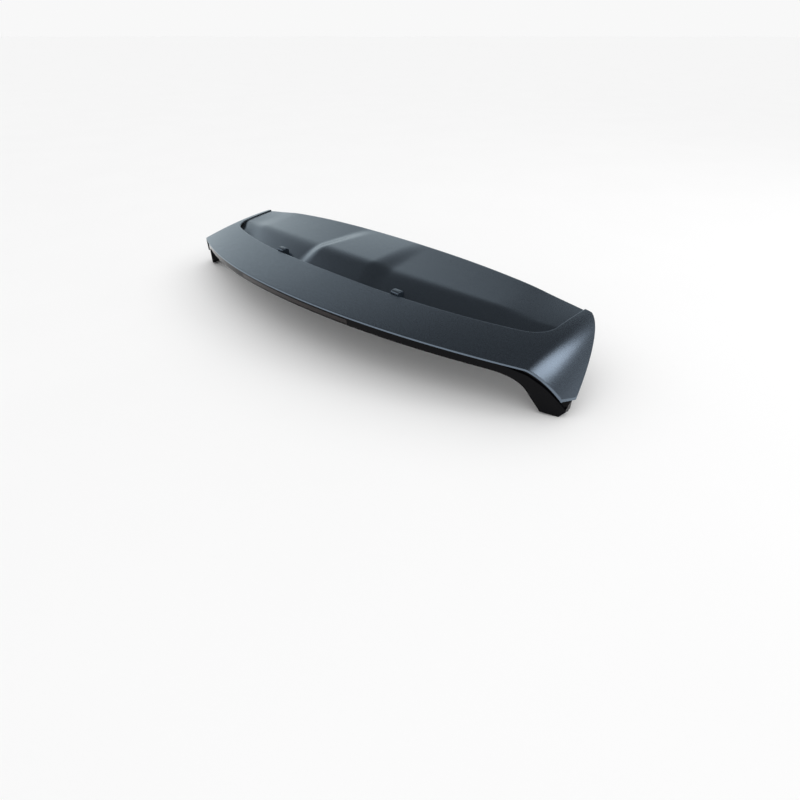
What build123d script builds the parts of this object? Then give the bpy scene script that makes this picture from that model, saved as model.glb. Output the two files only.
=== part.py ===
"""Roof spoiler for a tailgate: blade skin, deck panel, lower trims with legs, stop lamp and fixings."""
from build123d import *

import math
import os

# Frame: X to the right, Y to the front of the car, Z up, in millimetres.
# The origin is the middle of the four studs, on the plane that their bosses seat on.

# Three edges that run across the car, each with its place at the centre and its change at the reference half
reference_half = 600.0
front_y = 122.0
front_bow = 12.0
front_z = 71.0
front_camber = 35.0
blade_y = -130.0
blade_bow = 122.0
blade_z = 50.0
blade_camber = 24.0
tail_y = -271.0
tail_bow = 148.0
tail_z = 41.0
tail_camber = 38.0

# Ears: the crease where the top turns down, and the side view of their edges
crease_x = 571.0
crease_softness = 4.0
crease_slope = 0.33
ear_reach = 71.0
ear_drop = 52.5
ear_tip_y = 113.0
ear_tip_z = 38.0
ear_low_y = -63.0
ear_low_z = -60.0
ear_heel_y = -100.0
ear_heel_z = -52.0
ear_limit = 660.0

# Blade skin: its wall, the rim round the opening and the thin lip along the tail
skin_wall = 3.0
rim_depth = 8.0
lip_depth = 4.0
arm_front_x = 563.0
arm_rear_x = 553.0
arm_rear_y = 8.0
corner_x = 505.0

# Deck panel: a raised middle between two hollows that fall to a floor below the blade
deck_wall = 3.0
deck_rib_depth = 10.0
deck_rib_wall = 2.4
deck_rib_x = (60.0, 190.0, 300.0, 470.0)
deck_rib_rear_y = -60.0
deck_under_rim = 6.0
deck_rear_overlap = 24.0
deck_rear_half = 438.0
crest_half = 95.0
crest_foot = 140.0
crest_start = 0.5
crest_end = 1.12
crest_dip = 2.0
hollow_start = 0.25
hollow_end = 1.08
hollow_dip = 14.0
cove_start = 445.0
cove_end = 545.0
rim_stand_front = 5.0
rim_stand_rear = 14.0

# Lower trims: a channel below the tail, with a ledge line and a leg at each end
trim_wall = 3.0
trim_height = 24.0
trim_setback = 4.0
ledge_setback = 9.0
ledge_drop = 6.5
ledge_drop_leg = 18.0
trim_depth = 34.0
leg_depth = 24.0
trim_straight = 500.0
leg_knee_x = 575.0
leg_knee_z = -45.0
foot_in_x = 605.0
foot_in_z = -90.0
foot_out_x = 639.0
foot_out_z = -96.0
leg_out_x = 649.0
leg_out_z = -83.0
seam_x = 300.0
seam_gap = 0.6

# Stop lamp in the middle of the centre trim
lens_half = 195.0
lens_height = 10.0
lens_flange = 2.0
lens_end_flange = 4.0
lamp_wall = 1.5
lamp_depth = 12.0
gasket_thick = 1.2
board_thick = 1.6
led_count = 16
led_width = 3.5
led_height = 2.8
led_thick = 1.4
lamp_tab_x = 206.0
lamp_tab_width = 13.0
lamp_tab_deep = 8.0
lamp_tab_tall = 8.0

# Struts between the deck and the blade's front edge
strut_x = 211.0
strut_width = 20.0
strut_length = 36.0
strut_top_z = 55.0
strut_shoulder = 7.0
strut_chamfer = 2.5

# Fixings
fit_gap = 0.3
deck_gap = 0.8
screw_core = 4.0
screw_slack = 0.2
screw_pass = 5.0
screw_head = 9.0
screw_head_tall = 3.0
screw_length = 14.0
post_diameter = 9.0
trim_screw_x = (235.0, 335.0, 425.0)
stud_diameter = 6.0
stud_length = 22.0
stud_grip = 10.0
stud_flange = 13.0
stud_flange_tall = 2.0
stud_x = 380.0
stud_y = 45.0
boss_diameter = 22.0
seal_diameter = 26.0
seal_tall = 4.0
clip_x = (130.0, 450.0)
clip_back = 26.0
clip_seat = 18.0
clip_head = 14.0
clip_head_tall = 2.0
clip_stem = 6.0
clip_length = 13.0
clip_taper = 7.0

# Rubber and foam
front_seal_width = 7.0
front_seal_tall = 5.0
front_seal_lip = 1.5
tape_thick = 1.2
tape_width = 12.0
tape_inset = 4.0
tape_start_x = 580.0
pad_thick = 4.0
pad_low_z = -92.0
pad_high_z = -62.0
pad_in_x = 606.0
pad_out_x = 646.0

# Blocks and surfaces that the pieces are cut from
block_low = -200.0
block_high = 160.0
block_tall = block_high - block_low
margin = 20.0
sheet_tolerance = 0.1
strip_steps = 16
flange_steps = 60


def spread(start, end, steps):
    """Even values from start to end, both included."""
    return [start + (end - start) * i / steps for i in range(steps + 1)]


def ramp(value, start, end):
    """Smooth rise from 0 at start to 1 at end."""
    share = min(max((value - start) / (end - start), 0.0), 1.0)
    return share ** 3 * (10.0 - 15.0 * share + 6.0 * share ** 2)


def mix(first, second, share):
    """The value that lies the given share of the way from first to second."""
    return first + (second - first) * share


def across(x, power):
    """How far out a place lies, as a share of the reference half raised to a power."""
    return (abs(x) / reference_half) ** power


def front_line(x):
    """Plan of the deck's front edge."""
    return front_y - front_bow * across(x, 3.0)


def front_height(x):
    """Height of the deck's front edge."""
    return front_z - front_camber * across(x, 2.3)


def blade_line(x):
    """Plan of the blade's front edge."""
    return blade_y + blade_bow * across(x, 2.3)


def blade_height(x):
    """Height of the blade's front edge."""
    return blade_z - blade_camber * across(x, 1.6)


def tail_line(x):
    """Plan of the trailing edge."""
    return tail_y + tail_bow * across(x, 2.0)


def tail_height(x):
    """Height of the trailing edge."""
    return tail_z - tail_camber * across(x, 1.85)


def slope(line, x):
    """Slope of a line at a place."""
    step = 1.0
    return (line(x + step) - line(x - step)) / (2.0 * step)


def skin_top(x, y):
    """Height of the outer skin: a parabola through the three edges, turned down past the crease."""
    y_t, y_b, y_f = tail_line(x), blade_line(x), front_line(x)
    at_tail = (y - y_b) * (y - y_f) / ((y_t - y_b) * (y_t - y_f))
    at_blade = (y - y_t) * (y - y_f) / ((y_b - y_t) * (y_b - y_f))
    at_front = (y - y_t) * (y - y_b) / ((y_f - y_t) * (y_f - y_b))
    top = at_tail * tail_height(x) + at_blade * blade_height(x) + at_front * front_height(x)
    past = abs(x) - crease_x
    past = 0.5 * (past + math.hypot(past, crease_softness))
    ear_slope = crease_slope * (ear_tip_y - y) / (ear_tip_y - tail_line(crease_x))
    ear_bend = (ear_drop - ear_slope * ear_reach) / ear_reach ** 2
    return top - ear_slope * past - ear_bend * past ** 2


def below(height, depth):
    """Height function of a surface that lies a depth below another, measured square to it."""
    def lowered(x, y):
        along_x = slope(lambda place: height(place, y), x)
        along_y = slope(lambda place: height(x, place), y)
        return height(x, y) - depth * math.sqrt(1.0 + along_x ** 2 + along_y ** 2)
    return lowered


def deck_back(x, y):
    """How far back a place lies on the deck: 0 at its front edge, 1 at the blade's edge."""
    return (front_line(x) - y) / (front_line(x) - blade_line(x))


def rim_stand(x, y):
    """How far the rim beside the arms stands above the deck."""
    return mix(rim_stand_rear, rim_stand_front, max(1.0 - deck_back(x, y), 0.0) ** 2)


def deck_floor(x):
    """Height of the deck below the blade, where it rests on the trim's lower flange."""
    return tail_height(x) - trim_height + trim_wall + fit_gap + deck_wall


def deck_top(x, y):
    """Height of the deck: hollow at the sides, raised in the middle, coved up to the rim at the corners."""
    back = deck_back(x, y)
    settled = 1.0 - max(1.0 - back, 0.0) ** 2
    fall = front_height(x) - deck_floor(x)
    hollow = mix(hollow_dip * settled, fall, ramp(back, hollow_start, hollow_end))
    crest = mix(crest_dip * settled, fall, ramp(back, crest_start, crest_end))
    open_deck = front_height(x) - mix(crest, hollow, ramp(abs(x), crest_half, crest_foot))
    rim_side = skin_top(x, y) - rim_stand(x, y)
    return mix(open_deck, rim_side, ramp(abs(x), cove_start, cove_end))


def edge_low(x, y):
    """Height of the free edges of the skin: the tail lip, the blade's rim and the rim down to the deck."""
    rim = mix(rim_depth, rim_stand(x, y) - deck_gap, ramp(abs(x), cove_start, cove_end))
    from_tail = ramp(y - tail_line(x), 2.0 * lip_depth, 6.0 * rim_depth)
    on_top = 1.0 - ramp(abs(x), crease_x, ear_limit)
    return below(skin_top, mix(lip_depth, rim, from_tail * on_top))(x, y)


def ledge_top(x, y):
    """Height of the ledge line along the trim, further below the skin on the legs."""
    return skin_top(x, y) - mix(ledge_drop, ledge_drop_leg, ramp(abs(x), trim_straight, foot_in_x))


def ledge_under(x, y):
    """Height of the underside of the ledge."""
    return ledge_top(x, y) - trim_wall


def sheet(height, right, rows):
    """Spline face through a grid of points of a height function, the same on both sides of the centre."""
    columns = [-x for x in reversed(right[1:])] + right
    lines = spread(tail_y - margin, front_y + margin, rows)
    points = [[(x, y, height(x, y)) for y in lines] for x in columns]
    return Face.make_surface_from_array_of_points(points, tol=sheet_tolerance)


def skin_sheet(height):
    """Sheet with close columns over the corners and ears, where the skin bends."""
    right = spread(0.0, cove_start - margin, 8)
    right += spread(cove_start - margin, cove_end, 8)[1:]
    right += spread(cove_end, ear_limit + margin, 14)[1:]
    return sheet(height, right, 10)


def deck_sheet(height):
    """Sheet with close columns over the raised middle and the coves."""
    right = spread(0.0, crest_foot + margin, 13)
    right += spread(crest_foot + margin, cove_start - margin, 4)[1:]
    right += spread(cove_start - margin, ear_limit, 18)[1:]
    return sheet(height, right, 18)


def tail_strip(left, right, near, far, steps=strip_steps):
    """Plan of a strip along the tail, between two distances in front of it."""
    places = spread(left, right, steps)
    with BuildSketch() as strip:
        with BuildLine():
            rear = Spline(*[(x, tail_line(x) + near(x)) for x in places])
            front = Spline(*[(x, tail_line(x) + far(x)) for x in places])
            Line(rear @ 0, front @ 0)
            Line(rear @ 1, front @ 1)
        make_face()
    return strip.sketch


def steady(value):
    """A distance that is the same all along the tail."""
    return lambda x: value


def opening_plan(grow):
    """Plan of the opening between the arms, grown outwards, with round corners and an open front."""
    lean = (arm_front_x - arm_rear_x) / (ear_tip_y - arm_rear_y)
    turn = slope(blade_line, corner_x)
    far_y = front_y + margin / 2.0
    far_x = arm_front_x + lean * (far_y - ear_tip_y)
    with BuildSketch() as opening:
        with BuildLine():
            edge = Spline(*[(x, blade_line(x) - grow) for x in spread(-corner_x, corner_x, 16)])
            right_arm = Line((arm_rear_x + grow, arm_rear_y), (far_x + grow, far_y))
            left_arm = Line((-arm_rear_x - grow, arm_rear_y), (-far_x - grow, far_y))
            Spline(edge @ 1, right_arm @ 0, tangents=[(1.0, turn), (lean, 1.0)])
            Spline(edge @ 0, left_arm @ 0, tangents=[(-1.0, turn), (-lean, 1.0)])
            Line(right_arm @ 1, left_arm @ 1)
        make_face()
    return opening.sketch


def deck_plan():
    """Plan of the deck: under the rim at its sides, and back to the trim's flange below the blade."""
    lean = (arm_front_x - arm_rear_x) / (ear_tip_y - arm_rear_y)
    turn = slope(blade_line, corner_x)
    side_x = arm_rear_x + deck_under_rim
    tip_x = arm_front_x + deck_under_rim
    with BuildSketch() as deck:
        with BuildLine():
            front = Spline(*[(x, front_line(x)) for x in spread(-tip_x, tip_x, 14)])
            rear = Spline(*[(x, tail_line(x) + deck_rear_overlap)
                            for x in spread(-deck_rear_half, deck_rear_half, 14)])
            for side, tip, heel in ((1.0, front @ 1, rear @ 1), (-1.0, front @ 0, rear @ 0)):
                arm = Line(tip, (side * side_x, arm_rear_y))
                corner = (side * corner_x, blade_line(corner_x) - deck_under_rim)
                Spline(arm @ 1, corner, tangents=[(-side * lean, -1.0), (-side, -turn)])
                Line(corner, heel)
        make_face()
    return deck.sketch


def tail_view(half, low, high):
    """Rear view of a band that follows the tail's height, between two distances below it."""
    with BuildSketch() as band:
        with BuildLine():
            under = Spline(*[(x, tail_height(x) - low) for x in spread(-half, half, 10)])
            over = Spline(*[(x, tail_height(x) - high) for x in spread(-half, half, 10)])
            Line(under @ 0, over @ 0)
            Line(under @ 1, over @ 1)
        make_face()
    return band.sketch


def trim_view(inset):
    """Rear view of the trims and legs, drawn in by an inset, open above."""
    run_slope = slope(tail_height, trim_straight)
    leg_run = foot_in_x - leg_knee_x
    leg_fall = foot_in_z - leg_knee_z
    leg_shift = inset * math.hypot(leg_run, leg_fall) / -leg_fall
    foot_slope = (foot_out_z - foot_in_z) / (foot_out_x - foot_in_x)
    heel_x = foot_in_x + leg_shift + inset * leg_run / leg_fall
    toe_x = foot_out_x - inset
    knee = Vector(leg_knee_x + leg_shift, leg_knee_z)
    heel = Vector(heel_x, foot_in_z + inset)
    toe = Vector(toe_x, foot_in_z + inset + foot_slope * (toe_x - heel_x))
    side = Vector(leg_out_x - inset, leg_out_z)
    top = Vector(leg_out_x - inset, block_high)
    with BuildSketch() as view:
        with BuildLine():
            run = Spline(*[(x, tail_height(x) - trim_height + inset)
                           for x in spread(-trim_straight, trim_straight, 16)])
            for way, end in ((1.0, run @ 1), (-1.0, run @ 0)):
                leg = [(way * point.X, point.Y) for point in (knee, heel, toe, side, top)]
                Spline(end, leg[0], tangents=[(way, run_slope), (way * leg_run, leg_fall)])
                Polyline(*leg)
            Line((top.X, top.Y), (-top.X, top.Y))
        make_face()
    return view.sketch


def trim_front(x):
    """How far in front of the tail the trim's flanges reach, less on the legs."""
    return mix(trim_depth, leg_depth, ramp(abs(x), trim_straight, leg_knee_x))


plan = Plane.XY.offset(block_low)
rear_view = Plane((0.0, front_y + margin, 0.0), x_dir=(1.0, 0.0, 0.0), z_dir=(0.0, -1.0, 0.0))
rear_reach = front_y - tail_y + 2.0 * margin


def tail_solid(half, low, high, near, far):
    """Solid that follows the tail, from its band in the rear view and its strip in the plan."""
    with BuildPart() as solid:
        with BuildSketch(rear_view):
            add(tail_view(half, low, high))
        extrude(amount=rear_reach)
        with BuildSketch(plan):
            add(tail_strip(-half - margin, half + margin, steady(near), steady(far)))
        extrude(amount=block_tall, mode=Mode.INTERSECT)
    return solid.part


def screw(seat, length):
    """Screw with a hexagon head below its seat and a shank of the given length above it."""
    with BuildPart() as solid:
        with BuildSketch(seat):
            RegularPolygon(screw_head / 2.0, side_count=6)
        extrude(amount=-screw_head_tall)
        with BuildSketch(seat):
            Circle(screw_core / 2.0)
        extrude(amount=length)
    return solid.part


# Places of the screws, studs and clips
screw_back = (deck_rear_overlap + trim_depth) / 2.0
trim_screws_at = [(way * x, tail_line(x) + screw_back) for x in trim_screw_x for way in (-1.0, 1.0)]
strut_y = blade_line(strut_x + strut_width / 2.0) + fit_gap + strut_length / 2.0
struts_at = [(way * strut_x, strut_y) for way in (-1.0, 1.0)]
studs_at = [(way * stud_x, side * stud_y) for way in (-1.0, 1.0) for side in (-1.0, 1.0)]
clips_at = [(way * x, front_line(x) - clip_back) for x in clip_x for way in (-1.0, 1.0)]

os.makedirs("parts", exist_ok=True)

# Blade skin: a thick block below the outer surface, hollowed so that its rim and tail lip stay deep
with BuildPart() as skin_core:
    with BuildSketch(plan):
        with BuildLine():
            core_half = ear_limit + margin / 2.0
            core_front_y = front_y + margin / 2.0
            rear = Spline(*[(x, tail_line(x) + skin_wall) for x in spread(-core_half, core_half, 16)])
            Polyline(rear @ 1, (core_half, core_front_y), (-core_half, core_front_y), rear @ 0)
        make_face()
        add(opening_plan(skin_wall), mode=Mode.SUBTRACT)
    extrude(amount=block_tall)
    split(bisect_by=skin_sheet(below(skin_top, skin_wall)), keep=Keep.BOTTOM)

with BuildPart() as blade_skin:
    with BuildSketch(plan):
        with BuildLine():
            rear = Spline(*[(x, tail_line(x)) for x in spread(-ear_limit, ear_limit, 16)])
            front = Spline(*[(x, front_line(x)) for x in spread(-ear_limit, ear_limit, 16)])
            Line(rear @ 0, front @ 0)
            Line(rear @ 1, front @ 1)
        make_face()
        add(opening_plan(0.0), mode=Mode.SUBTRACT)
    extrude(amount=block_tall)
    split(bisect_by=skin_sheet(skin_top), keep=Keep.BOTTOM)
    split(bisect_by=skin_sheet(edge_low), keep=Keep.TOP)
    add(skin_core.part, mode=Mode.SUBTRACT)
    with BuildSketch(Plane.YZ):
        tip_slope = (ear_tip_z - ear_low_z) / (ear_tip_y - ear_low_y)
        heel_slope = (ear_heel_z - ear_low_z) / (ear_heel_y - ear_low_y)
        far_front = front_y + margin
        far_rear = tail_y - margin
        with BuildLine():
            Polyline((ear_low_y, ear_low_z),
                     (far_front, ear_low_z + tip_slope * (far_front - ear_low_y)),
                     (far_front, block_low),
                     (far_rear, block_low),
                     (far_rear, ear_low_z + heel_slope * (far_rear - ear_low_y)),
                     close=True)
        make_face()
    extrude(amount=ear_limit + margin, both=True, mode=Mode.SUBTRACT)
    for x, y in trim_screws_at:
        post_low = deck_floor(x) + deck_gap
        post_tall = skin_top(x, y) - skin_wall / 2.0 - post_low
        with Locations((x, y, post_low)):
            Cylinder(post_diameter / 2.0, post_tall, align=(Align.CENTER, Align.CENTER, Align.MIN))
            Cylinder((screw_core + screw_slack) / 2.0, post_tall - skin_wall,
                     align=(Align.CENTER, Align.CENTER, Align.MIN), mode=Mode.SUBTRACT)
blade_skin.part.label = "blade_skin"
export_step(blade_skin.part, "parts/blade_skin.step")

# Deck panel: pockets below it leave ribs and a front flange, and bosses reach down from its wall
with BuildPart() as deck_bosses:
    with BuildSketch():
        with Locations(*studs_at):
            Circle(boss_diameter / 2.0)
    extrude(amount=block_high)
    for x, y in clips_at:
        with BuildSketch(Plane.XY.offset(deck_top(x, y) - clip_seat)):
            with Locations((x, y)):
                Circle(clip_head / 2.0)
        extrude(amount=block_high)
    split(bisect_by=deck_sheet(below(deck_top, deck_wall / 2.0)), keep=Keep.BOTTOM)

with BuildPart() as deck_pockets:
    with BuildSketch(plan):
        with BuildLine():
            pocket_half = ear_limit - margin
            pocket_rear_y = tail_y - margin / 2.0
            front = Spline(*[(x, front_line(x) - deck_wall) for x in spread(-pocket_half, pocket_half, 16)])
            Polyline(front @ 1, (pocket_half, pocket_rear_y), (-pocket_half, pocket_rear_y), front @ 0)
        make_face()
        for x in deck_rib_x:
            with Locations((x, deck_rib_rear_y), (-x, deck_rib_rear_y)):
                Rectangle(deck_rib_wall, 2.0 * front_y, align=(Align.CENTER, Align.MIN), mode=Mode.SUBTRACT)
    extrude(amount=block_tall)
    split(bisect_by=deck_sheet(below(deck_top, deck_wall)), keep=Keep.BOTTOM)

with BuildPart() as deck_panel:
    with BuildSketch(plan):
        add(deck_plan())
    extrude(amount=block_tall)
    split(bisect_by=deck_sheet(deck_top), keep=Keep.BOTTOM)
    split(bisect_by=deck_sheet(below(deck_top, deck_rib_depth)), keep=Keep.TOP)
    add(deck_pockets.part, mode=Mode.SUBTRACT)
    add(deck_bosses.part)
    with Locations(*[(x, y, 0.0) for x, y in studs_at]):
        Cylinder((stud_diameter + screw_slack) / 2.0, stud_grip + fit_gap,
                 align=(Align.CENTER, Align.CENTER, Align.MIN), mode=Mode.SUBTRACT)
    with Locations(*[(x, y, deck_top(x, y) - clip_seat) for x, y in clips_at]):
        Cylinder((screw_core + screw_slack) / 2.0, clip_seat - 2.0 * deck_wall,
                 align=(Align.CENTER, Align.CENTER, Align.MIN), mode=Mode.SUBTRACT)
    with Locations(*[(x, y, 0.0) for x, y in trim_screws_at + struts_at]):
        Cylinder(screw_pass / 2.0, block_tall, mode=Mode.SUBTRACT)
deck_panel.part.label = "deck_panel"
export_step(deck_panel.part, "parts/deck_panel.step")

# Trims: one channel along the tail with both legs, cut into three at the seams
with BuildPart() as trim_core:
    with BuildSketch(plan):
        add(tail_strip(-ear_limit, ear_limit, steady(ledge_setback + trim_wall), steady(2.0 * trim_depth)))
    extrude(amount=block_tall)
    split(bisect_by=skin_sheet(below(skin_top, skin_wall + fit_gap + trim_wall)), keep=Keep.BOTTOM)

with BuildPart() as trim_low_core:
    with BuildSketch(plan):
        add(tail_strip(-ear_limit, ear_limit, steady(trim_setback + trim_wall), steady(trim_depth)))
    extrude(amount=block_tall)
    split(bisect_by=skin_sheet(ledge_under), keep=Keep.BOTTOM)

with BuildPart() as trim_hollow:
    add(trim_core.part)
    add(trim_low_core.part)
    with BuildSketch(rear_view):
        add(trim_view(trim_wall))
    extrude(amount=rear_reach, mode=Mode.INTERSECT)

with BuildPart() as trim_recess:
    with BuildSketch(plan):
        add(tail_strip(-ear_limit, ear_limit, steady(0.0), steady(ledge_setback)))
    extrude(amount=block_tall)
    split(bisect_by=skin_sheet(ledge_top), keep=Keep.TOP)

with BuildPart() as trims:
    with BuildSketch(plan):
        add(tail_strip(-ear_limit, ear_limit, steady(trim_setback), trim_front, flange_steps))
    extrude(amount=block_tall)
    with BuildSketch(rear_view):
        add(trim_view(0.0))
    extrude(amount=rear_reach, mode=Mode.INTERSECT)
    split(bisect_by=skin_sheet(below(skin_top, skin_wall + fit_gap)), keep=Keep.BOTTOM)
    add(trim_recess.part, mode=Mode.SUBTRACT)
    add(trim_hollow.part, mode=Mode.SUBTRACT)
    for x, y in trim_screws_at:
        with Locations((x, y, deck_floor(x))):
            Cylinder(screw_pass / 2.0, block_tall, mode=Mode.SUBTRACT)
            Cylinder(post_diameter / 2.0 + fit_gap, block_tall,
                     align=(Align.CENTER, Align.CENTER, Align.MIN), mode=Mode.SUBTRACT)

# Centre trim, with the window of the stop lamp and the holes of its screws
floor_low = trim_height - trim_wall
lens_low = floor_low - 2.0 * fit_gap
lens_high = lens_low - lens_height
lamp_low = floor_low - fit_gap
lamp_high = ledge_drop + trim_wall + fit_gap
flange_near = trim_setback + trim_wall + fit_gap
flange_far = flange_near + lens_flange
gasket_far = flange_far + fit_gap + gasket_thick
lamp_near = gasket_far + fit_gap
lamp_far = lamp_near + lamp_depth
lamp_half = lens_half + lens_end_flange
lamp_tab_y = tail_line(lamp_tab_x) + (lamp_near + lamp_far) / 2.0
lamp_tabs_at = [(way * lamp_tab_x, lamp_tab_y) for way in (-1.0, 1.0)]
lamp_tab_low = tail_height(lamp_tab_x) - lamp_low + deck_gap
with BuildPart() as trim_centre:
    add(trims.part)
    with Locations((0.0, 0.0, 0.0)):
        Box(2.0 * seam_x - seam_gap, 2.0 * rear_reach, 2.0 * block_tall, mode=Mode.INTERSECT)
    with BuildSketch(rear_view):
        add(tail_view(lens_half, lens_low, lens_high))
    extrude(amount=rear_reach, mode=Mode.SUBTRACT)
    with Locations(*[(x, y, 0.0) for x, y in lamp_tabs_at]):
        Cylinder(screw_pass / 2.0, block_tall, mode=Mode.SUBTRACT)
trim_centre.part.label = "trim_centre"
export_step(trim_centre.part, "parts/trim_centre.step")

# Side trims with the legs
side_width = ear_limit - seam_x
with BuildPart() as trim_left:
    add(trims.part)
    with Locations((-seam_x - seam_gap / 2.0, 0.0, 0.0)):
        Box(side_width, 2.0 * rear_reach, 2.0 * block_tall,
            align=(Align.MAX, Align.CENTER, Align.CENTER), mode=Mode.INTERSECT)
trim_left.part.label = "trim_left"
export_step(trim_left.part, "parts/trim_left.step")

with BuildPart() as trim_right:
    add(trims.part)
    with Locations((seam_x + seam_gap / 2.0, 0.0, 0.0)):
        Box(side_width, 2.0 * rear_reach, 2.0 * block_tall,
            align=(Align.MIN, Align.CENTER, Align.CENTER), mode=Mode.INTERSECT)
trim_right.part.label = "trim_right"
export_step(trim_right.part, "parts/trim_right.step")

# Stop lamp: lens in the window, gasket behind its flange, then housing, board and light sources
with BuildPart() as lamp_lens:
    add(tail_solid(lens_half - fit_gap, lens_low - fit_gap, lens_high + fit_gap, trim_setback, flange_far))
    add(tail_solid(lamp_half, lamp_low, lamp_high, flange_near, flange_far))
lamp_lens.part.label = "lamp_lens"
export_step(lamp_lens.part, "parts/lamp_lens.step")

with BuildPart() as lamp_gasket:
    add(tail_solid(lamp_half, lamp_low, lamp_high, flange_far + fit_gap, gasket_far))
    add(tail_solid(lamp_half - lamp_wall, lamp_low - lamp_wall, lamp_high + lamp_wall, flange_far, lamp_near),
        mode=Mode.SUBTRACT)
lamp_gasket.part.label = "lamp_gasket"
export_step(lamp_gasket.part, "parts/lamp_gasket.step")

with BuildPart() as lamp_housing:
    add(tail_solid(lamp_half, lamp_low, lamp_high, lamp_near, lamp_far))
    for x, y in lamp_tabs_at:
        with Locations((x, y, lamp_tab_low)):
            Box(lamp_tab_width + 2.0 * lamp_wall, lamp_tab_deep, lamp_tab_tall,
                align=(Align.CENTER, Align.CENTER, Align.MIN))
    add(tail_solid(lamp_half - lamp_wall, lamp_low - lamp_wall, lamp_high + lamp_wall,
                   flange_far, lamp_far - lamp_wall), mode=Mode.SUBTRACT)
    with Locations(*[(x, y, lamp_tab_low) for x, y in lamp_tabs_at]):
        Cylinder((screw_core + screw_slack) / 2.0, lamp_tab_tall - lamp_wall,
                 align=(Align.CENTER, Align.CENTER, Align.MIN), mode=Mode.SUBTRACT)
lamp_housing.part.label = "lamp_housing"
export_step(lamp_housing.part, "parts/lamp_housing.step")

board_far = lamp_far - lamp_wall - fit_gap
board_near = board_far - board_thick
board_half = lamp_half - lamp_wall - fit_gap
with BuildPart() as lamp_board:
    add(tail_solid(board_half, lamp_low - lamp_wall - fit_gap, lamp_high + lamp_wall + fit_gap,
                   board_near, board_far))
lamp_board.part.label = "lamp_board"
export_step(lamp_board.part, "parts/lamp_board.step")

led_drop = (lamp_low + lamp_high) / 2.0
led_reach = lens_half - 2.0 * led_width
with BuildPart() as lamp_leds:
    for x in spread(-led_reach, led_reach, led_count - 1):
        with Locations((x, tail_line(x) + board_near - fit_gap, tail_height(x) - led_drop)):
            Box(led_width, led_thick, led_height, align=(Align.CENTER, Align.MAX, Align.CENTER))
lamp_leds.part.label = "lamp_leds"
export_step(lamp_leds.part, "parts/lamp_leds.step")

# Struts: a side view with a round top, stood on the deck against the blade's edge
strut_seat = deck_sheet(lambda x, y: deck_top(x, y) + deck_gap)
with BuildPart() as strut_left:
    with BuildSketch(Plane.YZ.offset(-strut_x)) as strut_side:
        with Locations((strut_y, 0.0)):
            Rectangle(strut_length, strut_top_z, align=(Align.CENTER, Align.MIN))
        crown = strut_side.vertices().group_by(Axis.Y)[-1].sort_by(Axis.X)
        fillet(crown[0], strut_shoulder)
        fillet(crown[1], 2.0 * strut_shoulder)
    extrude(amount=strut_width / 2.0, both=True)
    sides = strut_left.faces().filter_by(Axis.X)
    chamfer(sides.edges(), strut_chamfer)
    split(bisect_by=strut_seat, keep=Keep.TOP)
    with Locations((-strut_x, strut_y, deck_top(strut_x, strut_y))):
        Cylinder((screw_core + screw_slack) / 2.0, 2.0 * screw_length, mode=Mode.SUBTRACT)
strut_left.part.label = "strut_left"
export_step(strut_left.part, "parts/strut_left.step")

with BuildPart() as strut_right:
    add(mirror(strut_left.part, about=Plane.YZ))
strut_right.part.label = "strut_right"
export_step(strut_right.part, "parts/strut_right.step")

# Screws: a hexagon head below, and a shank up into the piece that it holds
with BuildPart() as trim_screws:
    for x, y in trim_screws_at:
        seat = Plane((x, y, tail_height(x) - trim_height - deck_gap))
        add(screw(seat, screw_length))
trim_screws.part.label = "trim_screws"
export_step(trim_screws.part, "parts/trim_screws.step")

with BuildPart() as lamp_screws:
    for x, y in lamp_tabs_at:
        seat = Plane((x, y, tail_height(x) - trim_height - deck_gap))
        add(screw(seat, screw_length - lamp_tab_tall / 2.0))
lamp_screws.part.label = "lamp_screws"
export_step(lamp_screws.part, "parts/lamp_screws.step")

with BuildPart() as strut_screws:
    for x, y in struts_at:
        low_side = min(below(deck_top, deck_wall)(x + a * screw_head / 2.0, y + b * screw_head / 2.0)
                       for a in (-1.0, 0.0, 1.0) for b in (-1.0, 0.0, 1.0))
        add(screw(Plane((x, y, low_side - fit_gap)), screw_length))
strut_screws.part.label = "strut_screws"
export_step(strut_screws.part, "parts/strut_screws.step")

# Studs with a flange against the boss, and a foam ring round each
with BuildPart() as mount_studs:
    with Locations(*[(x, y, -fit_gap) for x, y in studs_at]):
        Cylinder(stud_flange / 2.0, stud_flange_tall, align=(Align.CENTER, Align.CENTER, Align.MAX))
        Cylinder(stud_diameter / 2.0, stud_grip, align=(Align.CENTER, Align.CENTER, Align.MIN))
        Cylinder(stud_diameter / 2.0, stud_length, align=(Align.CENTER, Align.CENTER, Align.MAX))
mount_studs.part.label = "mount_studs"
export_step(mount_studs.part, "parts/mount_studs.step")

with BuildPart() as stud_seals:
    with Locations(*[(x, y, -fit_gap) for x, y in studs_at]):
        Cylinder(seal_diameter / 2.0, seal_tall, align=(Align.CENTER, Align.CENTER, Align.MAX))
        Cylinder(stud_flange / 2.0 + fit_gap, seal_tall,
                 align=(Align.CENTER, Align.CENTER, Align.MAX), mode=Mode.SUBTRACT)
stud_seals.part.label = "stud_seals"
export_step(stud_seals.part, "parts/stud_seals.step")

# Push clips below the front of the deck
with BuildPart() as push_clips:
    for x, y in clips_at:
        seat = Plane((x, y, deck_top(x, y) - clip_seat - fit_gap))
        with Locations(seat):
            Cylinder(clip_head / 2.0, clip_head_tall, align=(Align.CENTER, Align.CENTER, Align.MAX))
            Cylinder(screw_core / 2.0, clip_seat / 2.0, align=(Align.CENTER, Align.CENTER, Align.MIN))
        with BuildSketch(seat):
            Rectangle(clip_stem, clip_stem)
        extrude(amount=-clip_length, taper=clip_taper)
push_clips.part.label = "push_clips"
export_step(push_clips.part, "parts/push_clips.step")

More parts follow.
